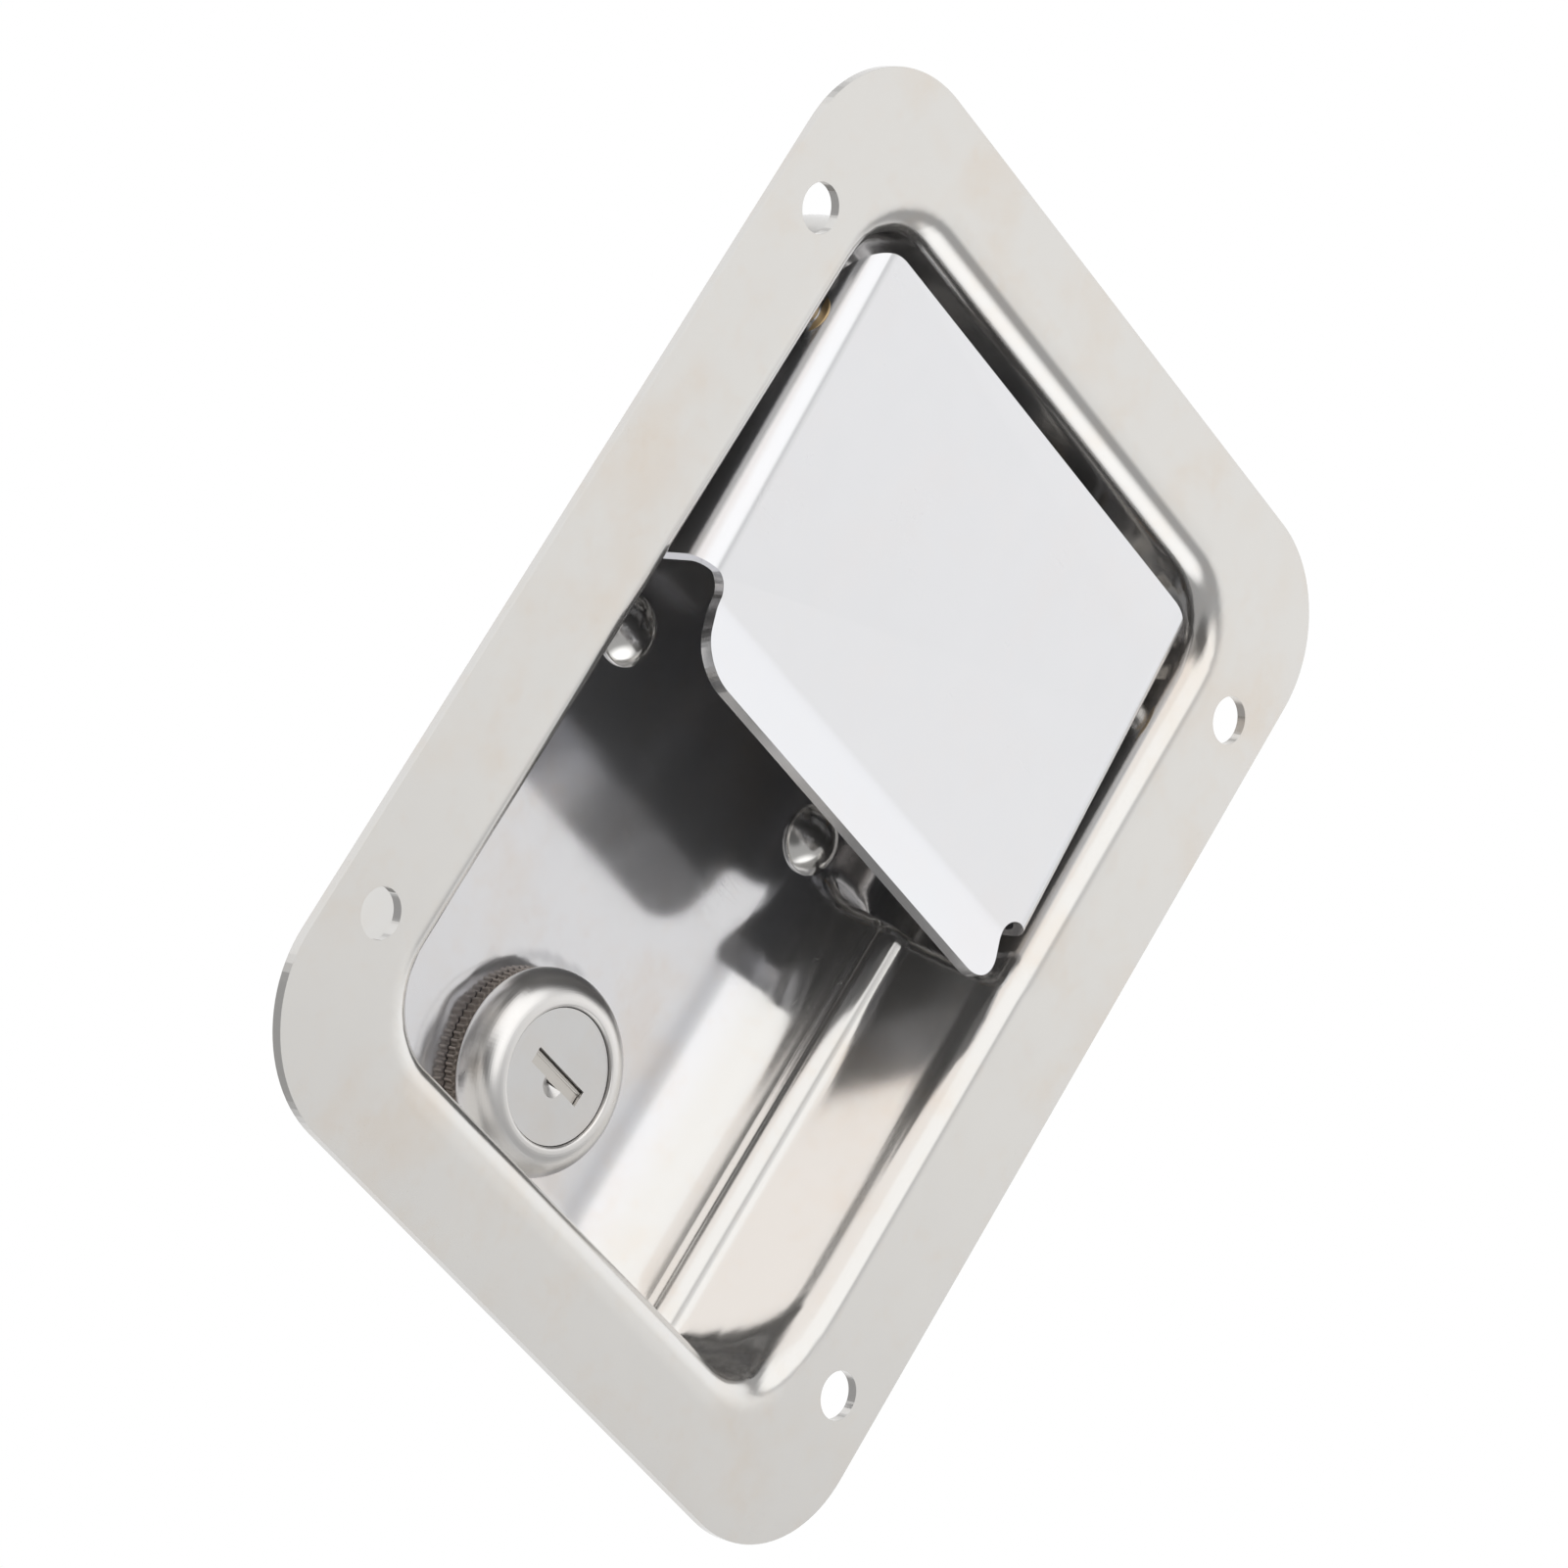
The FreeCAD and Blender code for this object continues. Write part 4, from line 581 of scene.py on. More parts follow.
@dataclass
class PressTool:
    """Shape of the front skin of the pressed dish, as a distance that is positive in the metal.

    Args:
        half_width: half the dish's width.
        top: its upper end.
        bottom: its lower end.
        corner: radius of its corners.
        floor: level of its floor.
        floor_radius: radius between floor and walls.
        flange: level of the flange's front.
        brim_radius: radius between walls and flange.
        block_end: upper end of the raised block.
        ramp_foot: x and y where the block's ramp leaves the floor.
        ramp_slope: direction of the ramp in degrees.
        rise: x and y of the foot of the steep rise.
        rise_slope: its direction in degrees.
        ledge: x and y of the valley behind the ridge.
        ledge_dip: fall of the ledge from the ridge to the valley in degrees.
        upper_slope: direction of the ramp behind the valley in degrees.
        ridge_radius: radius of the ridge.
        valley_radius: radius of the valley and of the rise's foot.
        end_radius: radius round the block's upper end.
        foot_radii: usual radius where the block meets the tub, the wide one and the tight one.
        wide_foot: ends in z and in x between which the foot grows wide, low on the ramp.
        tight_foot: ends in x and in z between which it grows tight, along the right wall.
        lock: height of the lock's axis, and radius of the flat that it sits on.
        lock_round: radius round that flat.
    """

    half_width: float = 38.0
    top: float = 56.0
    bottom: float = -55.0
    corner: float = 9.0
    floor: float = 20.8
    floor_radius: float = 8.3
    flange: float = -1.2
    brim_radius: float = 3.4
    block_end: float = 4.0
    ramp_foot: Tuple[float, float] = (24.2, 20.8)
    ramp_slope: float = 57.0
    rise: Tuple[float, float] = (28.9, 13.8)
    rise_slope: float = 76.0
    ledge: Tuple[float, float] = (31.9, 11.2)
    ledge_dip: float = 12.0
    upper_slope: float = 57.5
    ridge_radius: float = 2.5
    valley_radius: float = 0.6
    end_radius: float = 2.0
    foot_radii: Tuple[float, float, float] = (4.0, 8.0, 1.0)
    wide_foot: Tuple[Tuple[float, float], Tuple[float, float]] = ((2.0, -12.0), (30.0, 24.0))
    tight_foot: Tuple[Tuple[float, float], Tuple[float, float]] = ((31.0, 35.0), (-50.0, -41.0))
    lock: Tuple[float, float] = (-38.9, 12.6)
    lock_round: float = 0.3

    def distance(self, points: np.ndarray) -> np.ndarray:
        """Distance from the front skin.

        Args:
            points: array whose last axis holds x, y and z.

        Returns:
            The distances, negative in front of the skin.
        """
        x, y, z = points[..., 0], points[..., 1], points[..., 2]
        middle = 0.5 * (self.top + self.bottom)
        across = np.abs(x) - self.half_width + self.corner
        along = np.abs(z - middle) - 0.5 * (self.top - self.bottom) + self.corner
        outside = np.sqrt(np.maximum(across, 0.0) ** 2 + np.maximum(along, 0.0) ** 2)
        plan = outside + np.minimum(np.maximum(across, along), 0.0) - self.corner
        tub = round_both(plan, y - self.floor, self.floor_radius)
        seat = np.maximum(np.hypot(x, z - self.lock[0]) - self.lock[1], y - self.floor)
        tub = round_either(tub, seat, self.lock_round)
        dish = round_both(tub, -self.block(x, y, z), self.foot_radius(x, z))
        return round_either(dish, y - self.flange, self.brim_radius)

    def foot_radius(self, x: np.ndarray, z: np.ndarray) -> np.ndarray:
        """Radius between the block and the tub, wide low on the ramp and tight along the wall.

        Args:
            x: places across the dish.
            z: places along it.

        Returns:
            The radii.
        """
        usual, wide, tight = self.foot_radii
        low = ease(z, self.wide_foot[0]) * ease(x, self.wide_foot[1])
        high = ease(x, self.tight_foot[0]) * ease(z, self.tight_foot[1])
        radius = usual + (wide - usual) * smooth(low)
        return radius + (tight - usual) * smooth(high)

    def block(self, x: np.ndarray, y: np.ndarray, z: np.ndarray) -> np.ndarray:
        """Distance to the raised block: a ramp, a steep rise with a rounded ridge, and an upper ramp.

        Args:
            x: places across the dish.
            y: levels.
            z: places along it.

        Returns:
            The distances, negative in the block.
        """

        def slope(spot: Tuple[float, float], degrees: float) -> np.ndarray:
            """Distance from a plane along z through a spot, seen in the section across the dish."""
            angle = math.radians(degrees)
            return -math.sin(angle) * (x - spot[0]) - math.cos(angle) * (y - spot[1])

        ramp = slope(self.ramp_foot, self.ramp_slope)
        rise = slope(self.rise, self.rise_slope)
        upper = slope(self.ledge, self.upper_slope)
        above = round_either(slope(self.ledge, -self.ledge_dip), upper, self.valley_radius)
        step = round_both(rise, above, self.ridge_radius)
        profile = round_either(step, np.maximum(ramp, self.rise[1] - y), self.valley_radius)
        return round_both(profile, z - self.block_end, self.end_radius)

    def march(self, eye: np.ndarray, rays: np.ndarray) -> np.ndarray:
        """Follows rays from an eye point in front until they meet the skin.

        Args:
            eye: the common start point.
            rays: directions, of any length, on the last axis.

        Returns:
            The points where they meet it.
        """
        ways = rays / np.linalg.norm(rays, axis=-1, keepdims=True)
        reach = np.zeros(rays.shape[:-1])
        for _ in range(MARCH_STEPS):
            reach = reach - self.distance(eye + reach[..., None] * ways)
        return eye + reach[..., None] * ways

    def bend(self, points: np.ndarray) -> np.ndarray:
        """How much the sheet is bent at points of the skin.

        Args:
            points: array whose last axis holds x, y and z.

        Returns:
            The shares, 0 on flat areas and 1 on tight radii.
        """
        step = 0.4
        tight_curvature = 0.25
        middle = self.distance(points)
        total = np.zeros(points.shape[:-1])
        for axis in range(3):
            shift = np.zeros(3)
            shift[axis] = step
            total += self.distance(points + shift) + self.distance(points - shift) - 2.0 * middle
        return np.clip(np.abs(total) / step ** 2 / tight_curvature, 0.0, 1.0)


@dataclass
class Pan(Piece):
    """Flange and pressed dish from one sheet.

    Args:
        tool: shape of the dish.
        half_width: half the flange's width.
        half_height: half its height.
        corner: radius of its corners.
        holes: x and z of the screw holes from the middle, and their radius.
        sheet: thickness of the sheet.
        eye: point in front of the dish from which rays find its skin.
        spacing: length of the net's meshes on flat areas.
        flat_share: how densely flat areas are netted, beside the bends.
        gap: least difference of slope between two lines of the net.
        skirt: left, right, low and high edge of the net, just outside the brim.
        slot: left, right, low and high edge of the lever's slot.
        round_steps: steps in each of the flange's corners.
        hole_steps: steps round a screw hole.
        margin: width of the even strip inside the outline and round the holes.
        roll: width of the rolled cut edges.
    """

    tool: PressTool = field(default_factory=PressTool)
    half_width: float = 54.0
    half_height: float = 70.0
    corner: float = 15.5
    holes: Tuple[float, float, float] = (47.0, 47.5, 2.85)
    sheet: float = 1.2
    eye: Point = (-8.0, -26.0, 16.0)
    spacing: float = 1.12
    flat_share: float = 0.45
    gap: float = 0.007
    skirt: Tuple[float, float, float, float] = (-43.2, 43.2, -60.2, 61.2)
    slot: Tuple[float, float, float, float] = (-5.2, 5.2, 25.3, 43.3)
    round_steps: int = 24
    hole_steps: int = 64
    margin: float = 0.5
    roll: float = 0.14

    def slopes(self, axis: int, other: float) -> np.ndarray:
        """Ray slopes along x or z that land evenly on the profile of the skin.

        Args:
            axis: 0 for x, 2 for z.
            other: the other coordinate, on the floor, of the profile.

        Returns:
            The slopes in rising order.
        """
        eye = np.array(self.eye)
        depth = self.tool.flange - eye[1]
        low, high = (self.skirt[0], self.skirt[1]) if axis == 0 else (self.skirt[2], self.skirt[3])
        first, last = (low - eye[axis]) / depth, (high - eye[axis]) / depth
        samples = 5000
        fine = np.linspace(first, last, samples)
        rays = np.zeros((samples, 3))
        rays[:, 1] = 1.0
        rays[:, axis] = fine
        rays[:, 2 - axis] = (other - eye[2 - axis]) / (self.tool.floor - eye[1])
        points = self.tool.march(eye, rays)
        bends = self.tool.bend(points)
        dense = self.flat_share + bends[1:] + bends[:-1]
        run = np.concatenate([[0.0], np.cumsum(dense * np.linalg.norm(np.diff(points, axis=0), axis=1))])
        return np.interp(np.linspace(0.0, run[-1], max(2, int(run[-1] / self.spacing))), run, fine)

    def lattice(self, axis: int) -> np.ndarray:
        """Slopes for one direction of the skin's net, from two profiles and the lever slot's edges.

        Args:
            axis: 0 for x, 2 for z.

        Returns:
            The slopes in rising order.
        """
        eye = np.array(self.eye)
        others = (30.0, -30.0) if axis == 0 else (-20.0, 30.0)
        edges = self.slot[:2] if axis == 0 else self.slot[2:]
        fixed = [(edge - eye[axis]) / (self.tool.floor - eye[1]) for edge in edges]
        everything = np.sort(np.concatenate([self.slopes(axis, other) for other in others]))
        kept = [everything[0]]
        beside_slot = 0.6 * self.gap
        for value in everything[1:-1]:
            clear = min(value - kept[-1], everything[-1] - value) > self.gap
            if clear and min(abs(value - edge) for edge in fixed) > beside_slot:
                kept.append(value)
        return np.sort(np.array(kept + [everything[-1]] + fixed))

    def build(self) -> bpy.types.Object:
        """Builds the pan.

        Returns:
            The object.
        """
        mesh = bmesh.new()
        border = self.dish(mesh)
        self.flange(mesh, border)
        loose = [vert for vert in mesh.verts if not vert.link_faces]
        bmesh.ops.delete(mesh, geom=loose, context="VERTS")
        mesh.normal_update()
        flat = {face for face in mesh.faces
                if not self.in_skirt(face.calc_center_median().x, face.calc_center_median().z, 0.0)}
        bmesh.ops.reverse_faces(mesh, faces=[face for face in flat if face.normal.y > 0])
        for face in mesh.faces:
            face.tag = face in flat
        thing = self.finish(mesh)
        self.thicken(thing, self.sheet)
        self.edge_roll(thing, self.roll)
        return thing

    def dish(self, mesh: bmesh.types.BMesh) -> List[bmesh.types.BMVert]:
        """Adds the net of the dish's skin, open at the lever's slot.

        Args:
            mesh: the skin's mesh.

        Returns:
            The vertices round the net, all on the flange's level.
        """
        across, along = self.lattice(0), self.lattice(2)
        rays = np.ones((across.size, along.size, 3))
        rays[..., 0] = across[:, None]
        rays[..., 2] = along[None, :]
        points = self.tool.march(np.array(self.eye), rays)
        bends = self.tool.bend(points)
        layer = mesh.verts.layers.float.new("bend")
        net = []
        for spots, shares in zip(points, bends):
            row = [mesh.verts.new(spot) for spot in spots]
            for vert, share in zip(row, shares):
                vert[layer] = float(share)
            net.append(row)
        left, right, low, high = self.slot
        for i in range(across.size - 1):
            for j in range(along.size - 1):
                centre = 0.25 * (points[i, j] + points[i + 1, j] + points[i, j + 1] + points[i + 1, j + 1])
                if left < centre[0] < right and low < centre[2] < high:
                    continue
                mesh.faces.new((net[i][j], net[i + 1][j], net[i + 1][j + 1], net[i][j + 1]))
        border = ([row[0] for row in net] + net[-1][1:] + [row[-1] for row in reversed(net[:-1])]
                  + list(reversed(net[0][1:-1])))
        for vert in border:
            vert.co.y = self.tool.flange
        return border

    def in_skirt(self, x: float, z: float, more: float) -> bool:
        """Whether a place lies in the rectangle of the dish's net, made larger on all sides."""
        left, right, low, high = self.skirt
        return left - more < x < right + more and low - more < z < high + more

    def flange(self, mesh: bmesh.types.BMesh, border: List[bmesh.types.BMVert]) -> None:
        """Adds the flat of the flange between the dish's border, the outline and the holes.

        Args:
            mesh: the skin's mesh.
            border: the vertices round the dish's net.
        """
        def loop(points: List[Tuple[float, float]]) -> List[bmesh.types.BMVert]:
            """Adds a loop of vertices on the flange's level."""
            return [mesh.verts.new((x, self.tool.flange, z)) for x, z in points]

        def strip(inner: List[bmesh.types.BMVert], outer: List[bmesh.types.BMVert]) -> None:
            """Adds the faces between two loops of the same number of vertices."""
            count = len(inner)
            for k in range(count):
                mesh.faces.new((inner[k], inner[(k + 1) % count], outer[(k + 1) % count], outer[k]))

        outer, inner = (loop(rounded_rectangle(self.half_width, self.half_height, self.corner,
                                               self.round_steps, inset)) for inset in (0.0, self.margin))
        strip(inner, outer)
        loops = [inner, border]
        hole_x, hole_z, radius = self.holes
        held = radius + self.margin
        for side in (-1.0, 1.0):
            for end in (-1.0, 1.0):
                centre = (hole_x * side, hole_z * end)
                rim, wide = (loop(arc_points(centre, (reach, reach), 0.0, 360.0, self.hole_steps)[:-1])
                             for reach in (radius, held))
                strip(rim, wide)
                loops.append(wide)
        verts = [vert for one in loops for vert in one]
        spots = [Vector((vert.co.x, vert.co.z)) for vert in verts]
        pairs = []
        for one in loops:
            first = len(pairs)
            pairs += [(first + k, first + (k + 1) % len(one)) for k in range(len(one))]
        filled = delaunay_2d_cdt(spots, pairs, [], 1, 1e-5)
        for triangle in filled[2]:
            corners = [verts[filled[3][k][0]] for k in triangle]
            x = sum(vert.co.x for vert in corners) / 3.0
            z = sum(vert.co.z for vert in corners) / 3.0
            in_hole = math.hypot(abs(x) - hole_x, abs(z) - hole_z) < held
            if not in_hole and not self.in_skirt(x, z, 0.01):
                mesh.faces.new(corners)


def rounded_rectangle(half_width: float, half_height: float, radius: float, steps: int,
                      inset: float) -> List[Tuple[float, float]]:
    """Points of a rounded rectangle, moved inwards by an inset.

    Args:
        half_width: half its width.
        half_height: half its height.
        radius: radius of its corners.
        steps: steps in each corner.
        inset: how far the outline is moved inwards.

    Returns:
        The points in order.
    """
    points: List[Tuple[float, float]] = []
    small = radius - inset
    for x, z, start in ((1, 1, 0.0), (-1, 1, 90.0), (-1, -1, 180.0), (1, -1, 270.0)):
        centre = (x * (half_width - radius), z * (half_height - radius))
        points += arc_points(centre, (small, small), start, start + 90.0, steps)
    return points


# Paddle


@dataclass
class Paddle(Piece):
    """Face, flanks and lip folded from one flat blank.

    Args:
        pin: y and z of the pin's axis.
        lean: how far the face leans into the dish at its lower end, in degrees.
        front: level of the face's front before it leans, from the pin.
        sheet: thickness of the sheet.
        half_width: half the paddle's width.
        top: upper edge above the pin.
        corner: radius of the flanks' upper corners.
        flank_bend: radius between face and flanks.
        flank_depth: depth of the flanks.
        flank_end: lower end of the flanks below the pin.
        lip_half: half the lip's width.
        lip_corner: radius of the lip's corners.
        neck: radius of the notch between flank and lip.
        bend_at: where face and lip would meet, below the pin.
        bend_radius: radius between them.
        lip_angle: angle between them in degrees.
        lip_length: length of the lip.
        bush: radius of the bush's hole.
        hole_room: width of the square patch round that hole, beyond it.
        flank_cuts: steps across the flanks' bends.
        lip_cuts: steps across the lip's bend.
        lip_drawn: how much the lip's bend counts as drawn beside the flanks'.
        roll: width of the rolled cut edges.
    """

    pin: Tuple[float, float] = (4.7, 41.0)
    lean: float = 3.5
    front: float = -5.2
    sheet: float = 1.3
    half_width: float = 36.0
    top: float = 11.4
    corner: float = 5.0
    flank_bend: float = 3.3
    flank_depth: float = 11.0
    flank_end: float = 33.0
    lip_half: float = 31.0
    lip_corner: float = 5.0
    neck: float = 2.5
    bend_at: float = 36.0
    bend_radius: float = 6.0
    lip_angle: float = 18.5
    lip_length: float = 8.1
    bush: float = 3.2
    hole_room: float = 1.0
    flank_cuts: int = 16
    lip_cuts: int = 12
    lip_drawn: float = 0.5
    roll: float = 0.16

    def blank_x(self, x: float) -> float:
        """Place across the blank of a point on the folded paddle.

        Args:
            x: place of the point to the side of the middle.

        Returns:
            Its place across the blank.
        """
        start = self.half_width - self.flank_bend
        if x <= start:
            return x
        return start + self.flank_bend * math.asin(min(1.0, (x - start) / self.flank_bend))

    def outline(self) -> List[Tuple[float, float]]:
        """Right half of the blank's outline.

        Returns:
            The points as (across, down), from the upper edge to the lip's lower one.
        """
        corner_steps, neck_steps = 14, 10
        side = self.blank_x(self.half_width)
        edge = side + self.flank_depth - self.flank_bend
        end = self.bend_at + self.lip_length
        corner = arc_points((self.half_width - self.corner, self.corner - self.top),
                            (self.corner, -self.corner), 90.0, 0.0, corner_steps)
        points = [(self.blank_x(x), down) for x, down in corner]
        points += [(edge, self.corner - self.top), (edge, self.flank_end)]
        points += arc_points((self.lip_half + self.neck, self.flank_end + self.neck),
                             (self.neck, -self.neck), 90.0, 180.0, neck_steps)
        points += arc_points((self.lip_half - self.lip_corner, end - self.lip_corner),
                             (self.lip_corner, self.lip_corner), 0.0, 90.0, corner_steps)
        return points

    def fold(self, across: float, down: float) -> Point:
        """Where a point of the blank ends up in the part's frame.

        Args:
            across: place across the blank.
            down: distance below the pin along the blank.

        Returns:
            The point on the paddle's front.
        """
        side = math.copysign(1.0, across)
        reach = abs(across)
        start = self.half_width - self.flank_bend
        x, y, z = reach, self.front, -down
        if reach > start:
            turn = min((reach - start) / self.flank_bend, math.pi / 2)
            x = start + self.flank_bend * math.sin(turn)
            y += self.flank_bend * (1.0 - math.cos(turn))
            y += max(0.0, reach - start - self.flank_bend * math.pi / 2)
        angle = math.radians(self.lip_angle)
        begin = self.lip_bend()[0]
        if down > begin:
            turn = min((down - begin) / self.bend_radius, angle)
            y -= self.bend_radius * (1.0 - math.cos(turn))
            z = -begin - self.bend_radius * math.sin(turn)
            beyond = max(0.0, down - begin - self.bend_radius * angle)
            y -= beyond * math.sin(angle)
            z -= beyond * math.cos(angle)
        tilt = math.radians(self.lean)
        return (side * x, self.pin[0] + y * math.cos(tilt) + z * math.sin(tilt),
                self.pin[1] + z * math.cos(tilt) - y * math.sin(tilt))

    def build(self) -> bpy.types.Object:
        """Builds the paddle.

        Returns:
            The object.
        """
        mesh = bmesh.new()
        half = self.outline()
        whole = half + [(-across, down) for across, down in reversed(half)]
        mesh.faces.new([mesh.verts.new((across, 0.0, down)) for across, down in whole])
        bmesh.ops.remove_doubles(mesh, verts=mesh.verts, dist=1e-4)
        start = self.half_width - self.flank_bend
        quarter = self.flank_bend * math.pi / 2
        pin_at = start + quarter - self.flank_bend - self.front
        hole = self.bush + self.hole_room
        begin, lip = self.lip_bend()
        across_cuts = [start + quarter * k / self.flank_cuts for k in range(self.flank_cuts + 1)]
        across_cuts += [pin_at - hole, pin_at + hole]
        down_cuts = [begin + (lip - begin) * k / self.lip_cuts for k in range(self.lip_cuts + 1)]
        planes = [((side * where, 0.0, 0.0), (1.0, 0.0, 0.0))
                  for where in across_cuts for side in (-1.0, 1.0)]
        planes += [((0.0, 0.0, where), (0.0, 0.0, 1.0)) for where in down_cuts + [-hole, hole]]
        for spot, normal in planes:
            bmesh.ops.bisect_plane(mesh, geom=mesh.verts[:] + mesh.edges[:] + mesh.faces[:], dist=1e-5,
                                   plane_co=spot, plane_no=normal)
        for side in (-1.0, 1.0):
            self.open_hole(mesh, side * pin_at, hole)
        flat = [face for face in mesh.faces
                if self.unbent([abs(vert.co.x) for vert in face.verts], start, start + quarter)
                and self.unbent([vert.co.z for vert in face.verts], begin, lip)]
        layer = mesh.verts.layers.float.new("bend")
        near = 0.1
        for vert in mesh.verts:
            across, down = vert.co.x, vert.co.z
            in_flank = start - near < abs(across) < start + quarter + near
            in_lip = begin - near < down < lip + near
            vert[layer] = 1.0 if in_flank else self.lip_drawn if in_lip else 0.0
            vert.co = self.fold(across, down)
        bmesh.ops.recalc_face_normals(mesh, faces=mesh.faces)
        front = max(mesh.faces, key=lambda face: face.calc_area())
        if front.normal.y > 0:
            bmesh.ops.reverse_faces(mesh, faces=mesh.faces)
        for face in mesh.faces:
            face.tag = face in flat
        thing = self.finish(mesh)
        self.thicken(thing, self.sheet)
        self.edge_roll(thing, self.roll)
        return thing

    def lip_bend(self) -> Tuple[float, float]:
        """Where the lip's bend begins and ends along the blank."""
        angle = math.radians(self.lip_angle)
        begin = self.bend_at - self.bend_radius * math.tan(angle / 2)
        return begin, begin + self.bend_radius * angle

    @staticmethod
    def unbent(places: List[float], begin: float, end: float) -> bool:
        """Whether places along the blank all lie before a bend, or all behind it."""
        slack = 1e-3
        return max(places) < begin + slack or min(places) > end - slack

    def open_hole(self, mesh: bmesh.types.BMesh, across: float, reach: float) -> None:
        """Turns the square face round a pin place into a face with the bush's hole.

        Args:
            mesh: the blank.
            across: place of the pin across the blank.
            reach: half the square's side.
        """
        centre = Vector((across, 0.0, 0.0))
        square = min(mesh.faces, key=lambda face: (face.calc_center_median() - centre).length)
        edges = list(square.edges)
        bmesh.ops.delete(mesh, geom=[square], context="FACES_ONLY")
        side_cuts = 7
        bmesh.ops.subdivide_edges(mesh, edges=edges, cuts=side_cuts)
        around = [edge for edge in mesh.edges if len(edge.link_faces) < 2
                  and max(abs(vert.co.x - across) for vert in edge.verts) < reach + 1e-3
                  and max(abs(vert.co.z) for vert in edge.verts) < reach + 1e-3]
        turn = Matrix.Rotation(math.pi / 2, 4, "X")
        made = bmesh.ops.create_circle(mesh, cap_ends=False, radius=self.bush, segments=4 * (side_cuts + 1),
                                       matrix=Matrix.Translation(centre) @ turn)
        rim = list({edge for vert in made["verts"] for edge in vert.link_edges})
        bmesh.ops.bridge_loops(mesh, edges=around + rim)


# Round pieces


@dataclass
class Rivets(Piece):
    """Domed rivets in the dish floor.

    Args:
        places: x and z of each rivet.
        floor: level that the heads sit on.
        head: radius of a head.
        dome: height of a head.
        rim: how much steeper the head's edge is cut than its dome, as a height.
        shank: radius of the shank.
        foot: level of the closed end's front.
        tail: radius of the closed end.
        tail_thick: its thickness.
        tail_round: radius round its edge.
        roll: width of the rolled edges.
    """

    places: Tuple[Tuple[float, float], ...] = ((-20.0, 7.1), (20.0, 7.1), (-20.0, 42.0), (20.0, 42.0))
    floor: float = 20.8
    head: float = 4.2
    dome: float = 2.5
    rim: float = 0.35
    shank: float = 2.4
    foot: float = 24.0
    tail: float = 3.6
    tail_thick: float = 1.6
    tail_round: float = 0.9
    roll: float = 0.15

    def build(self) -> bpy.types.Object:
        """Builds the rivets.

        Returns:
            The object.
        """
        rise = self.dome - self.rim
        ball = (self.head ** 2 + rise ** 2) / (2.0 * rise)
        reach = math.degrees(math.asin(self.head / ball))
        profile = arc_points((0.0, self.floor - self.dome + ball), (ball, ball), -90.0, reach - 90.0, 16)
        profile[0] = (0.0, self.floor - self.dome)
        profile += [(self.head, self.floor), (self.shank, self.floor), (self.shank, self.foot),
                    (self.tail, self.foot)]
        back = self.foot + self.tail_thick
        profile += arc_points((self.tail - self.tail_round, back - self.tail_round),
                              (self.tail_round, self.tail_round), 0.0, 90.0, 5)
        profile.append((0.0, back))
        mesh = bmesh.new()
        for x, z in self.places:
            join(mesh, spin_profile(profile, (x, 0.0, z), 64))
        thing = self.finish(mesh)
        self.edge_roll(thing, self.roll)
        return thing


@dataclass
class LockBody(Piece):
    """Domed head and flatted barrel of the lock.

    Args:
        centre: a point of the lock's axis.
        bore: radius of the recess for the plug's face.
        plug_bore: radius of the bore behind it.
        plug_seat: level on which the plug's face sits.
        crest: level of the head's front.
        lip: radius of the recess's rim.
        crown: width of the head's crest beside the recess.
        widest: radius of the head.
        widest_at: level of that radius.
        back_round: height of the head's round back.
        seat: level of the head's back.
        shoulder: width of the flat behind the head.
        barrel: radius of the barrel.
        flat: half the width across the barrel's flats.
        end: level of the barrel's end.
    """

    centre: Point = (0.0, 0.0, -38.9)
    bore: float = 7.8
    plug_bore: float = 6.45
    plug_seat: float = 16.95
    crest: float = 14.1
    lip: float = 0.35
    crown: float = 0.5
    widest: float = 11.8
    widest_at: float = 17.9
    back_round: float = 1.9
    seat: float = 19.35
    shoulder: float = 0.9
    barrel: float = 9.5
    flat: float = 8.4
    end: float = 31.0

    def build(self) -> bpy.types.Object:
        """Builds the lock body.

        Returns:
            The object.
        """
        chamfer = 0.3
        dome = self.bore + self.crown
        profile = [(self.plug_bore, self.end), (self.plug_bore, self.plug_seat), (self.bore, self.plug_seat),
                   (self.bore, self.crest + self.lip + chamfer)]
        profile += arc_points((self.bore + self.lip, self.crest + self.lip), (self.lip, self.lip),
                              180.0, 270.0, 5)
        profile += arc_points((dome, self.widest_at), (self.widest - dome, self.widest_at - self.crest),
                              -90.0, 0.0, 20)
        profile += arc_points((dome, self.widest_at), (self.widest - dome, self.back_round), 0.0, 46.0, 6)
        profile += [(self.barrel + self.shoulder, self.seat), (self.barrel, self.seat),
                    (self.barrel, self.end)]
        mesh = spin_profile(profile + [profile[0]], self.centre, 128)
        for vert in mesh.verts:
            if vert.co.y > self.seat - 1e-3 and abs(vert.co.x) > self.flat:
                radius = math.hypot(vert.co.x, vert.co.z - self.centre[2])
                if radius < self.barrel + 0.05:
                    vert.co.x = math.copysign(self.flat, vert.co.x)
        return self.finish(mesh)


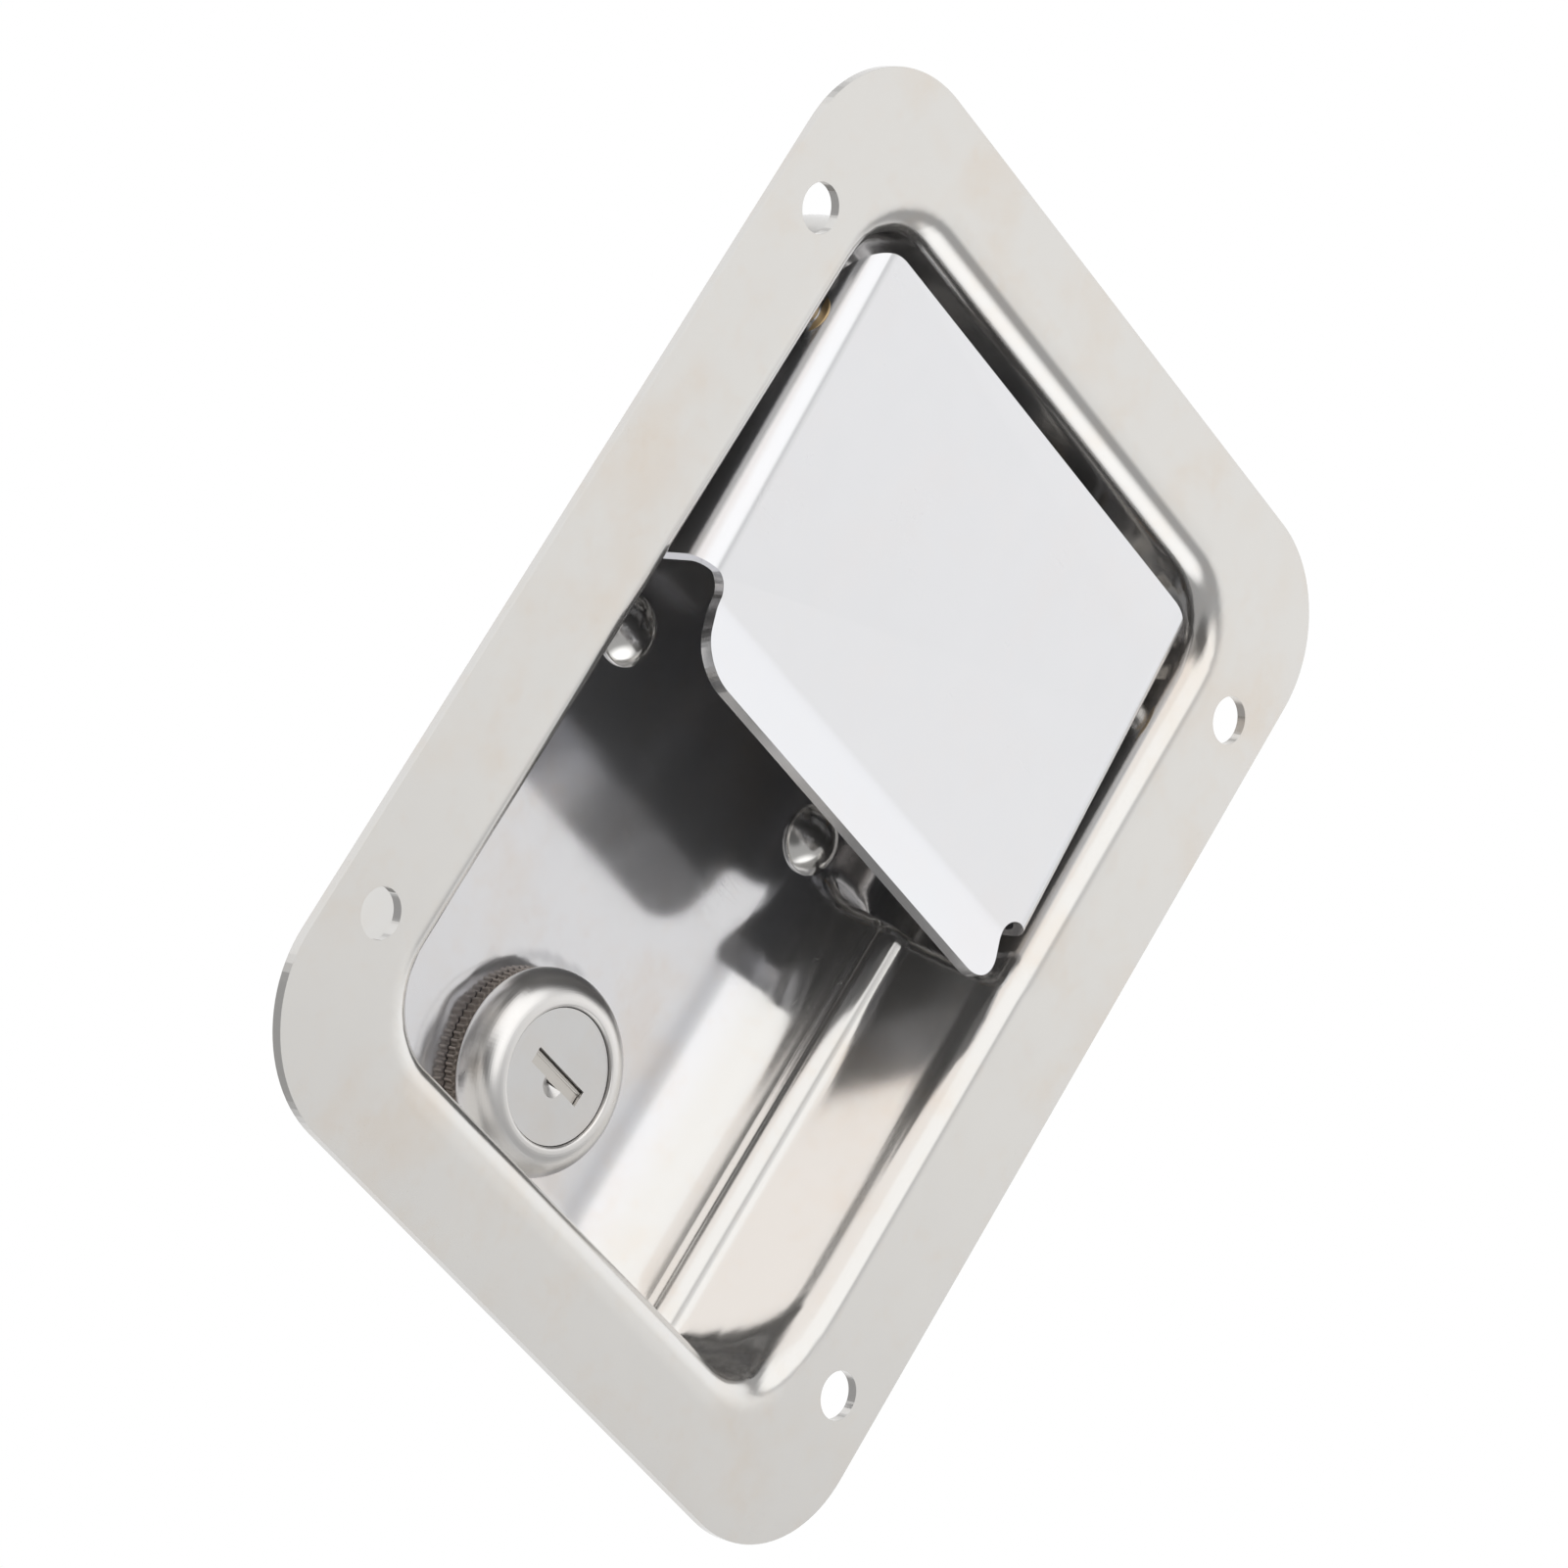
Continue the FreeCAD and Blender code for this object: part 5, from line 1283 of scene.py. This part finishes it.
@dataclass
class Collar(Piece):
    """Finely toothed collar between the lock's head and the dish floor.

    Args:
        centre: a point of the lock's axis.
        front: level of its front.
        back: level of its back.
        bore: radius of its hole.
        outside: radius at the teeth's tips.
        tooth: depth of a tooth.
        teeth: number of teeth.
        tooth_steps: steps round one tooth.
        round_off: width of its rounded rims.
        roll: width of the rolled edges.
    """

    centre: Point = (0.0, 0.0, -38.9)
    front: float = 19.4
    back: float = 20.8
    bore: float = 9.6
    outside: float = 11.4
    tooth: float = 0.4
    teeth: int = 80
    tooth_steps: int = 6
    round_off: float = 0.2
    roll: float = 0.05

    def build(self) -> bpy.types.Object:
        """Builds the collar.

        Returns:
            The object.
        """
        steps = self.teeth * self.tooth_steps
        rings = [(self.bore, self.front, 0.0),
                 (self.outside - self.tooth - self.round_off, self.front, 0.0),
                 (self.outside, self.front + self.round_off, 1.0),
                 (self.outside, self.back - self.round_off, 1.0),
                 (self.outside - self.round_off, self.back, 0.5),
                 (self.bore, self.back, 0.0)]
        mesh = bmesh.new()
        net = []
        for radius, y, share in rings:
            row = []
            for k in range(steps):
                angle = 2.0 * math.pi * k / steps
                wave = 0.5 - 0.5 * math.cos(angle * self.teeth)
                reach = radius - self.tooth * share * wave
                row.append(mesh.verts.new((self.centre[0] + reach * math.cos(angle), y,
                                           self.centre[2] + reach * math.sin(angle))))
            net.append(row)
        for first, second in zip(net, net[1:] + net[:1]):
            for k in range(steps):
                mesh.faces.new((first[k], first[(k + 1) % steps], second[(k + 1) % steps], second[k]))
        bmesh.ops.recalc_face_normals(mesh, faces=mesh.faces)
        thing = self.finish(mesh)
        self.edge_roll(thing, self.roll)
        return thing


@dataclass
class CoilSpring(Piece):
    """Compression spring round the tail rod.

    Args:
        centre: x and y of its axis.
        start: its lower end.
        end: its upper end.
        wire: radius of the wire.
        radius: radius of the coil at the wire's middle.
        turns: number of turns.
        turn_steps: steps round one turn.
        sides: steps round the wire.
        travel: how far the bolt presses it together; not used.
    """

    centre: Tuple[float, float] = (0.0, 26.4)
    start: float = -1.0
    end: float = 24.0
    wire: float = 0.55
    radius: float = 3.45
    turns: float = 6.0
    turn_steps: int = 40
    sides: int = 12
    travel: float = 11.3

    def build(self) -> bpy.types.Object:
        """Builds the spring.

        Returns:
            The object.
        """
        low, high = self.start + self.wire, self.end - self.wire
        steps = int(self.turns * self.turn_steps)
        mesh = bmesh.new()
        rings = []
        for k in range(steps + 1):
            turn = 2.0 * math.pi * self.turns * k / steps
            height = low + (high - low) * k / steps
            out = Vector((math.cos(turn), math.sin(turn), 0.0))
            middle = Vector((self.centre[0], self.centre[1], height)) + out * self.radius
            ring = []
            for side in range(self.sides):
                angle = 2.0 * math.pi * side / self.sides
                ring.append(mesh.verts.new(middle + out * (self.wire * math.cos(angle))
                                           + Vector((0.0, 0.0, self.wire * math.sin(angle)))))
            rings.append(ring)
        for before, after in zip(rings, rings[1:]):
            for side in range(self.sides):
                mesh.faces.new((before[side], before[(side + 1) % self.sides],
                                after[(side + 1) % self.sides], after[side]))
        mesh.faces.new(rings[0])
        mesh.faces.new(rings[-1])
        bmesh.ops.recalc_face_normals(mesh, faces=mesh.faces)
        thing = self.finish(mesh)
        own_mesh(thing)
        return thing


# Light and camera


@dataclass(frozen=True)
class Glow:
    """A soft patch of the surroundings.

    Args:
        towards: direction of its middle.
        full: half angle in degrees inside which it has its full brightness.
        fade: half angle at which it has faded out.
        brightness: its brightness.
        tint: its colour.
    """

    towards: Point
    full: float
    fade: float
    brightness: float
    tint: Colour = (1.0, 1.0, 1.0)


SURROUNDINGS: Tuple[Glow, ...] = (
    Glow((0.63, 0.69, 0.35), 42.0, 64.0, 1.0),
    Glow((-0.45, -0.82, 0.35), 35.0, 47.0, 1.5, (1.0, 0.995, 0.985)),
    Glow((-0.91, -0.23, 0.35), 12.0, 32.0, 1.36, (1.0, 0.955, 0.92)),
    Glow((-0.63, 0.69, 0.35), 15.0, 32.0, 1.15),
    Glow((0.35, -0.87, 0.35), 4.0, 18.0, 0.8),
    Glow((0.607, -0.600, 0.521), 4.0, 26.0, 1.17, (1.0, 0.99, 0.975)),
    Glow((0.63, -0.20, 0.75), 15.0, 35.0, 1.3),
    Glow((0.63, -0.45, -0.63), 10.0, 32.0, 1.6),
    Glow((-0.63, -0.69, -0.35), 10.0, 32.0, 0.12),
)
BASE_GLOW = 0.45


def build_world() -> None:
    """White to the camera, and soft light and dark patches in reflections."""
    bpy.context.scene.view_settings.view_transform = "Standard"
    world = bpy.data.worlds.new("studio")
    bpy.context.scene.world = world
    world.use_nodes = True
    graph = Graph(world.node_tree)
    direction = graph.add("TexCoord").outputs["Generated"]
    colour: object = opaque((BASE_GLOW, BASE_GLOW, BASE_GLOW))
    for glow in SURROUNDINGS:
        aim = Vector(glow.towards).normalized()
        dot = graph.add("VectorMath", {0: direction, 1: tuple(aim)}, operation="DOT_PRODUCT")
        share = graph.spread(dot.outputs["Value"], math.cos(math.radians(glow.fade)),
                             math.cos(math.radians(glow.full)))
        colour = graph.mix(share, colour, opaque(tuple(glow.brightness * part for part in glow.tint)))
    seen = graph.add("Background", {"Color": (1.0, 1.0, 1.0, 1.0), "Strength": 1.0}).outputs[0]
    around = graph.add("Background", {"Color": colour, "Strength": 1.0}).outputs[0]
    camera_ray = graph.add("LightPath").outputs["Is Camera Ray"]
    mixed = graph.add("MixShader", {0: camera_ray, 1: around, 2: seen}).outputs[0]
    graph.add("OutputWorld", {"Surface": mixed})


@dataclass(frozen=True)
class SolvedCamera:
    """Camera solved from the photographed outline and holes.

    Args:
        right: direction of the picture's right side in the part's frame.
        down: direction of its lower side.
        ahead: direction of view.
        place: place of the lens in millimetres.
        focal_pixels: focal length in pixels of the photograph.
        photo_pixels: width of the photograph in pixels.
        sensor: sensor width in millimetres that the focal length is turned into.
        reach: distance in metres up to which the camera sees.
    """

    right: Point = (0.5107, -0.7111, 0.4832)
    down: Point = (0.5867, -0.1225, -0.8005)
    ahead: Point = (0.6284, 0.6923, 0.3547)
    place: Point = (-504.626, -548.439, -282.381)
    focal_pixels: float = 7361.49
    photo_pixels: float = 1601.0
    sensor: float = 36.0
    reach: float = 20.0

    def build(self) -> None:
        """Puts the camera into the scene."""
        data = bpy.data.cameras.new("camera")
        data.sensor_width = self.sensor
        data.lens = self.sensor * self.focal_pixels / self.photo_pixels
        data.clip_end = self.reach
        camera = bpy.data.objects.new("camera", data)
        turn = Matrix((self.right, -Vector(self.down), -Vector(self.ahead))).transposed().to_4x4()
        camera.matrix_world = Matrix.Translation(Vector(self.place) * MM) @ turn
        bpy.context.scene.collection.objects.link(camera)
        bpy.context.scene.camera = camera


def main() -> None:
    """Builds every piece, the light and the camera."""
    logging.basicConfig(level=logging.INFO)
    wardrobe = Wardrobe()
    own: Dict[str, Callable[[], bpy.types.Object]] = {
        "pan": Pan("pan", wardrobe).build,
        "paddle": Paddle("paddle", wardrobe).build,
        "housing_rivets": Rivets("housing_rivets", wardrobe).build,
        "lock_body": LockBody("lock_body", wardrobe).build,
        "toothed_collar": Collar("toothed_collar", wardrobe).build,
        "bolt_spring": CoilSpring("bolt_spring", wardrobe).build,
    }
    for node in frame["nodes"]:
        build = own.get(node)
        thing = build() if build else RefinedCopy(node, wardrobe).build()
        LOG.info("%s: %d faces", thing.name, len(thing.data.polygons))
    build_world()
    SolvedCamera().build()


if __name__ == "__main__":
    main()
